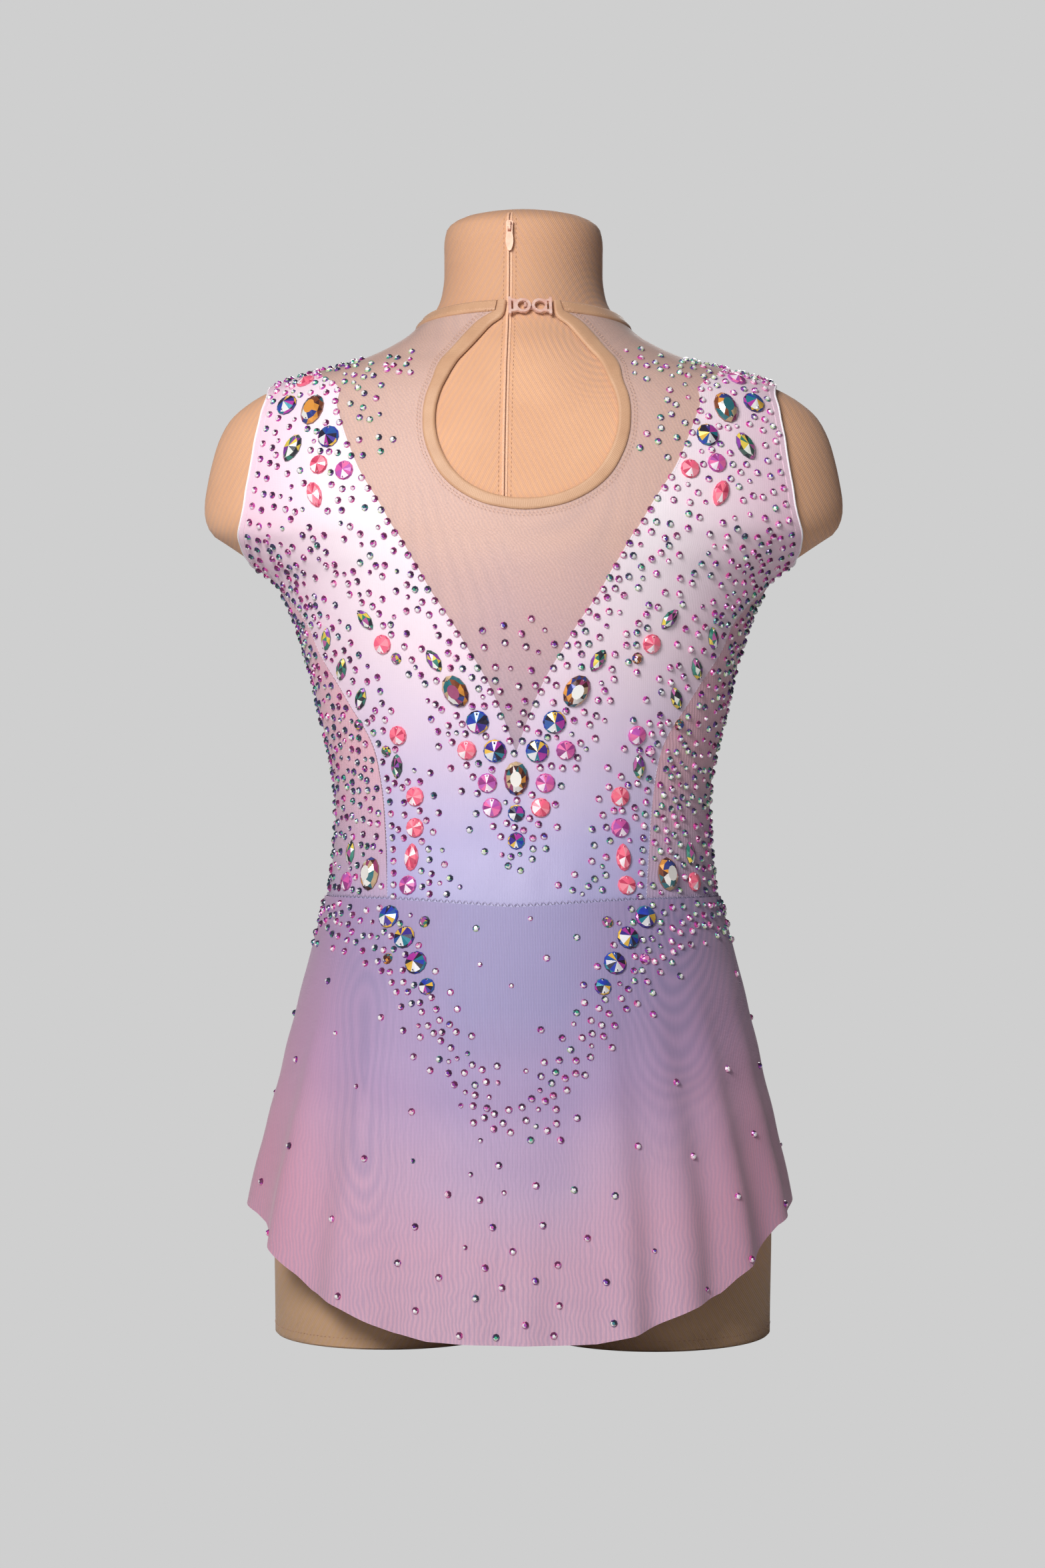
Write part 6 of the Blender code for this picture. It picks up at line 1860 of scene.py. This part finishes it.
def apart(stones, reach):
    """The stones that stand clear of the ones before them."""
    kept, places = [], []
    for stone in stones:
        place = seat(stone, on_torso)
        if all(np.linalg.norm(place - other) >= reach for other in places):
            kept.append(stone)
            places.append(place)
    return kept


print("room round a large round stone:", KINDS["round"][0] / 2 + STONE_ROOM, "mm")

# %% [markdown]
# ## The small stones in place
#
# Rows go down first, along the V, the armholes and the panel seams. Then the scatter fills each cloth by its
# own pitch. Green foil is commoner on the shoulders and at the waist.

# %% Small stones
rows = []
for tag, side in (("left", 1.0), ("right", -1.0)):
    rows += row_of(shift_line(L["v_" + tag], side * -1.2), 7.5, large)
    rows += row_of(shift_line(L["arm_" + tag], side * 7.4), 8.6, large)
    rows += row_of(shift_line(L["arm_" + tag], side * 14.6), 8.6, large)
    rows += row_of(shift_line(L["princess_" + tag], side * 4.6), 7.0, large)


def more_green(x, z):
    return 0.55 if z > 545.0 or z < 300.0 else 0.22


small_bodice = scatter(bodice_line, on_torso, bodice_pitch, 21, large, 34000, apart(rows, 4.9), more_green)
set_crystals("small_stones_bodice", small_bodice, on_torso, HIGH - 0.05, crystal, 31)
small_yoke = scatter(yoke_line, on_torso, yoke_pitch, 22, large, 14000, (),
                     lambda x, z: 0.75 if z > 500 else 0.1)
set_crystals("small_stones_yoke", small_yoke, on_torso, HIGH - 0.4, crystal, 32)
small_panels = []
for tag, outline in (("right", side_line), ("left", mirrored(side_line)[::-1])):
    small_panels += scatter(outline, on_torso, panel_pitch, 23, large, 9000, (), lambda x, z: 0.6)
set_crystals("small_stones_panels", small_panels, on_torso, HIGH - 0.05, crystal, 33)
small_skirt = scatter(skirt_back_line, on_skirt, skirt_pitch, 24, large_skirt, 26000, (),
                      lambda x, z: 0.5 if z > 236 else 0.12)
set_crystals("small_stones_skirt", small_skirt, on_skirt, GLUED, crystal, 34)
print("small stones in all:", sum(map(len, (small_bodice, small_yoke, small_panels, small_skirt))))

# %% [markdown]
# ## Floor, light and camera
#
# A large soft lamp stands to the viewer's left and in front, so the left side gleams and the right side
# falls into shade. Another stands on the far side, for whoever walks round the form. The floor and the room
# have one pale grey, so the part seems to stand in an empty studio. The camera looks level at the middle of
# the part with a long lens, as a product photographer's would.

# %% Studio
STUDIO_GREY = (207, 207, 207)
EYE_LEVEL = 0.336          # height of the camera and of what it looks at, in metres
world = bpy.data.worlds.new("studio")
bpy.context.scene.world = world
world.use_nodes = True
tree = world.node_tree
tree.nodes.clear()
AMBIENT = 0.11
seen = node(tree, "ShaderNodeBackground")
seen.inputs[0].default_value = (*tone(*STUDIO_GREY), 1.0)
glow = node(tree, "ShaderNodeBackground")
glow.inputs[0].default_value = (*tone(236, 232, 240), 1.0)
glow.inputs[1].default_value = AMBIENT
ray = node(tree, "ShaderNodeLightPath")
pick = node(tree, "ShaderNodeMixShader")
tree.links.new(ray.outputs["Is Camera Ray"], pick.inputs[0])
tree.links.new(glow.outputs[0], pick.inputs[1])
tree.links.new(seen.outputs[0], pick.inputs[2])
tree.links.new(pick.outputs[0], node(tree, "ShaderNodeOutputWorld").inputs[0])

floor_mesh = bpy.data.meshes.new("studio_floor")
floor_mesh.from_pydata([(-3, -3, 0), (3, -3, 0), (3, 3, 0), (-3, 3, 0)], [], [(0, 1, 2, 3)])
floor = bpy.data.objects.new("studio_floor", floor_mesh)
bpy.context.scene.collection.objects.link(floor)
paper, tree, shader = start_material("pale_paper", 0.9)
spot, _ = place_of(tree)
soft = use_group(tree, grain, spot, Scale=8.0, Fine_scale=300.0)
two_tone(tree, shader, soft["Fine"], (205, 205, 205), (209, 209, 209))
plain = node(tree, "ShaderNodeEmission")
plain.inputs[0].default_value = (*tone(*STUDIO_GREY), 1.0)
ray = node(tree, "ShaderNodeLightPath")
pick = node(tree, "ShaderNodeMixShader")
tree.links.new(ray.outputs["Is Camera Ray"], pick.inputs[0])
tree.links.new(shader.outputs[0], pick.inputs[1])
tree.links.new(plain.outputs[0], pick.inputs[2])
tree.links.new(pick.outputs[0], tree.nodes["Material Output"].inputs[0])
floor_mesh.materials.append(paper)


def soft_lamp(name, spot, target, size, power, colour):
    lamp = bpy.data.lights.new(name, "AREA")
    lamp.size, lamp.energy, lamp.color = size, power, colour
    stand = bpy.data.objects.new(name, lamp)
    bpy.context.scene.collection.objects.link(stand)
    stand.location = spot
    stand.rotation_euler = (Vector(target) - Vector(spot)).to_track_quat("-Z", "Y").to_euler()


soft_lamp("key_lamp", (-0.61, -1.70, 1.36), (0.0, 0.0, 0.48), 0.75, 40.5, (1.0, 0.985, 0.965))
soft_lamp("low_fill", (-0.2, -2.4, 0.15), (0.0, 0.0, 0.30), 1.2, 5.0, (0.96, 0.97, 1.0))
soft_lamp("front_lamp", (0.0, 2.35, 1.05), (0.0, 0.0, 0.42), 0.9, 26.0, (1.0, 0.99, 0.98))

CAMERA_SPOT = Vector((0.1193, -2.2679, EYE_LEVEL))
camera = bpy.data.objects.new("camera", bpy.data.cameras.new("camera"))
bpy.context.scene.collection.objects.link(camera)
camera.location = CAMERA_SPOT
gaze = Vector((0.0, MOVED_Y * MM, EYE_LEVEL)) - CAMERA_SPOT
camera.rotation_euler = gaze.to_track_quat("-Z", "Y").to_euler()
camera.data.lens = 85.0
camera.data.sensor_width = 36.0
camera.data.clip_end = 60.0
bpy.context.scene.camera = camera
bpy.context.scene.view_settings.view_transform = "Standard"
print("camera at", [round(c, 3) for c in camera.location])

# %% [markdown]
# ## Sizes and the table of pieces
# Last, the scene is brought up to date, so that every piece stands where it was placed.

# %% Finish
bpy.context.view_layer.update()
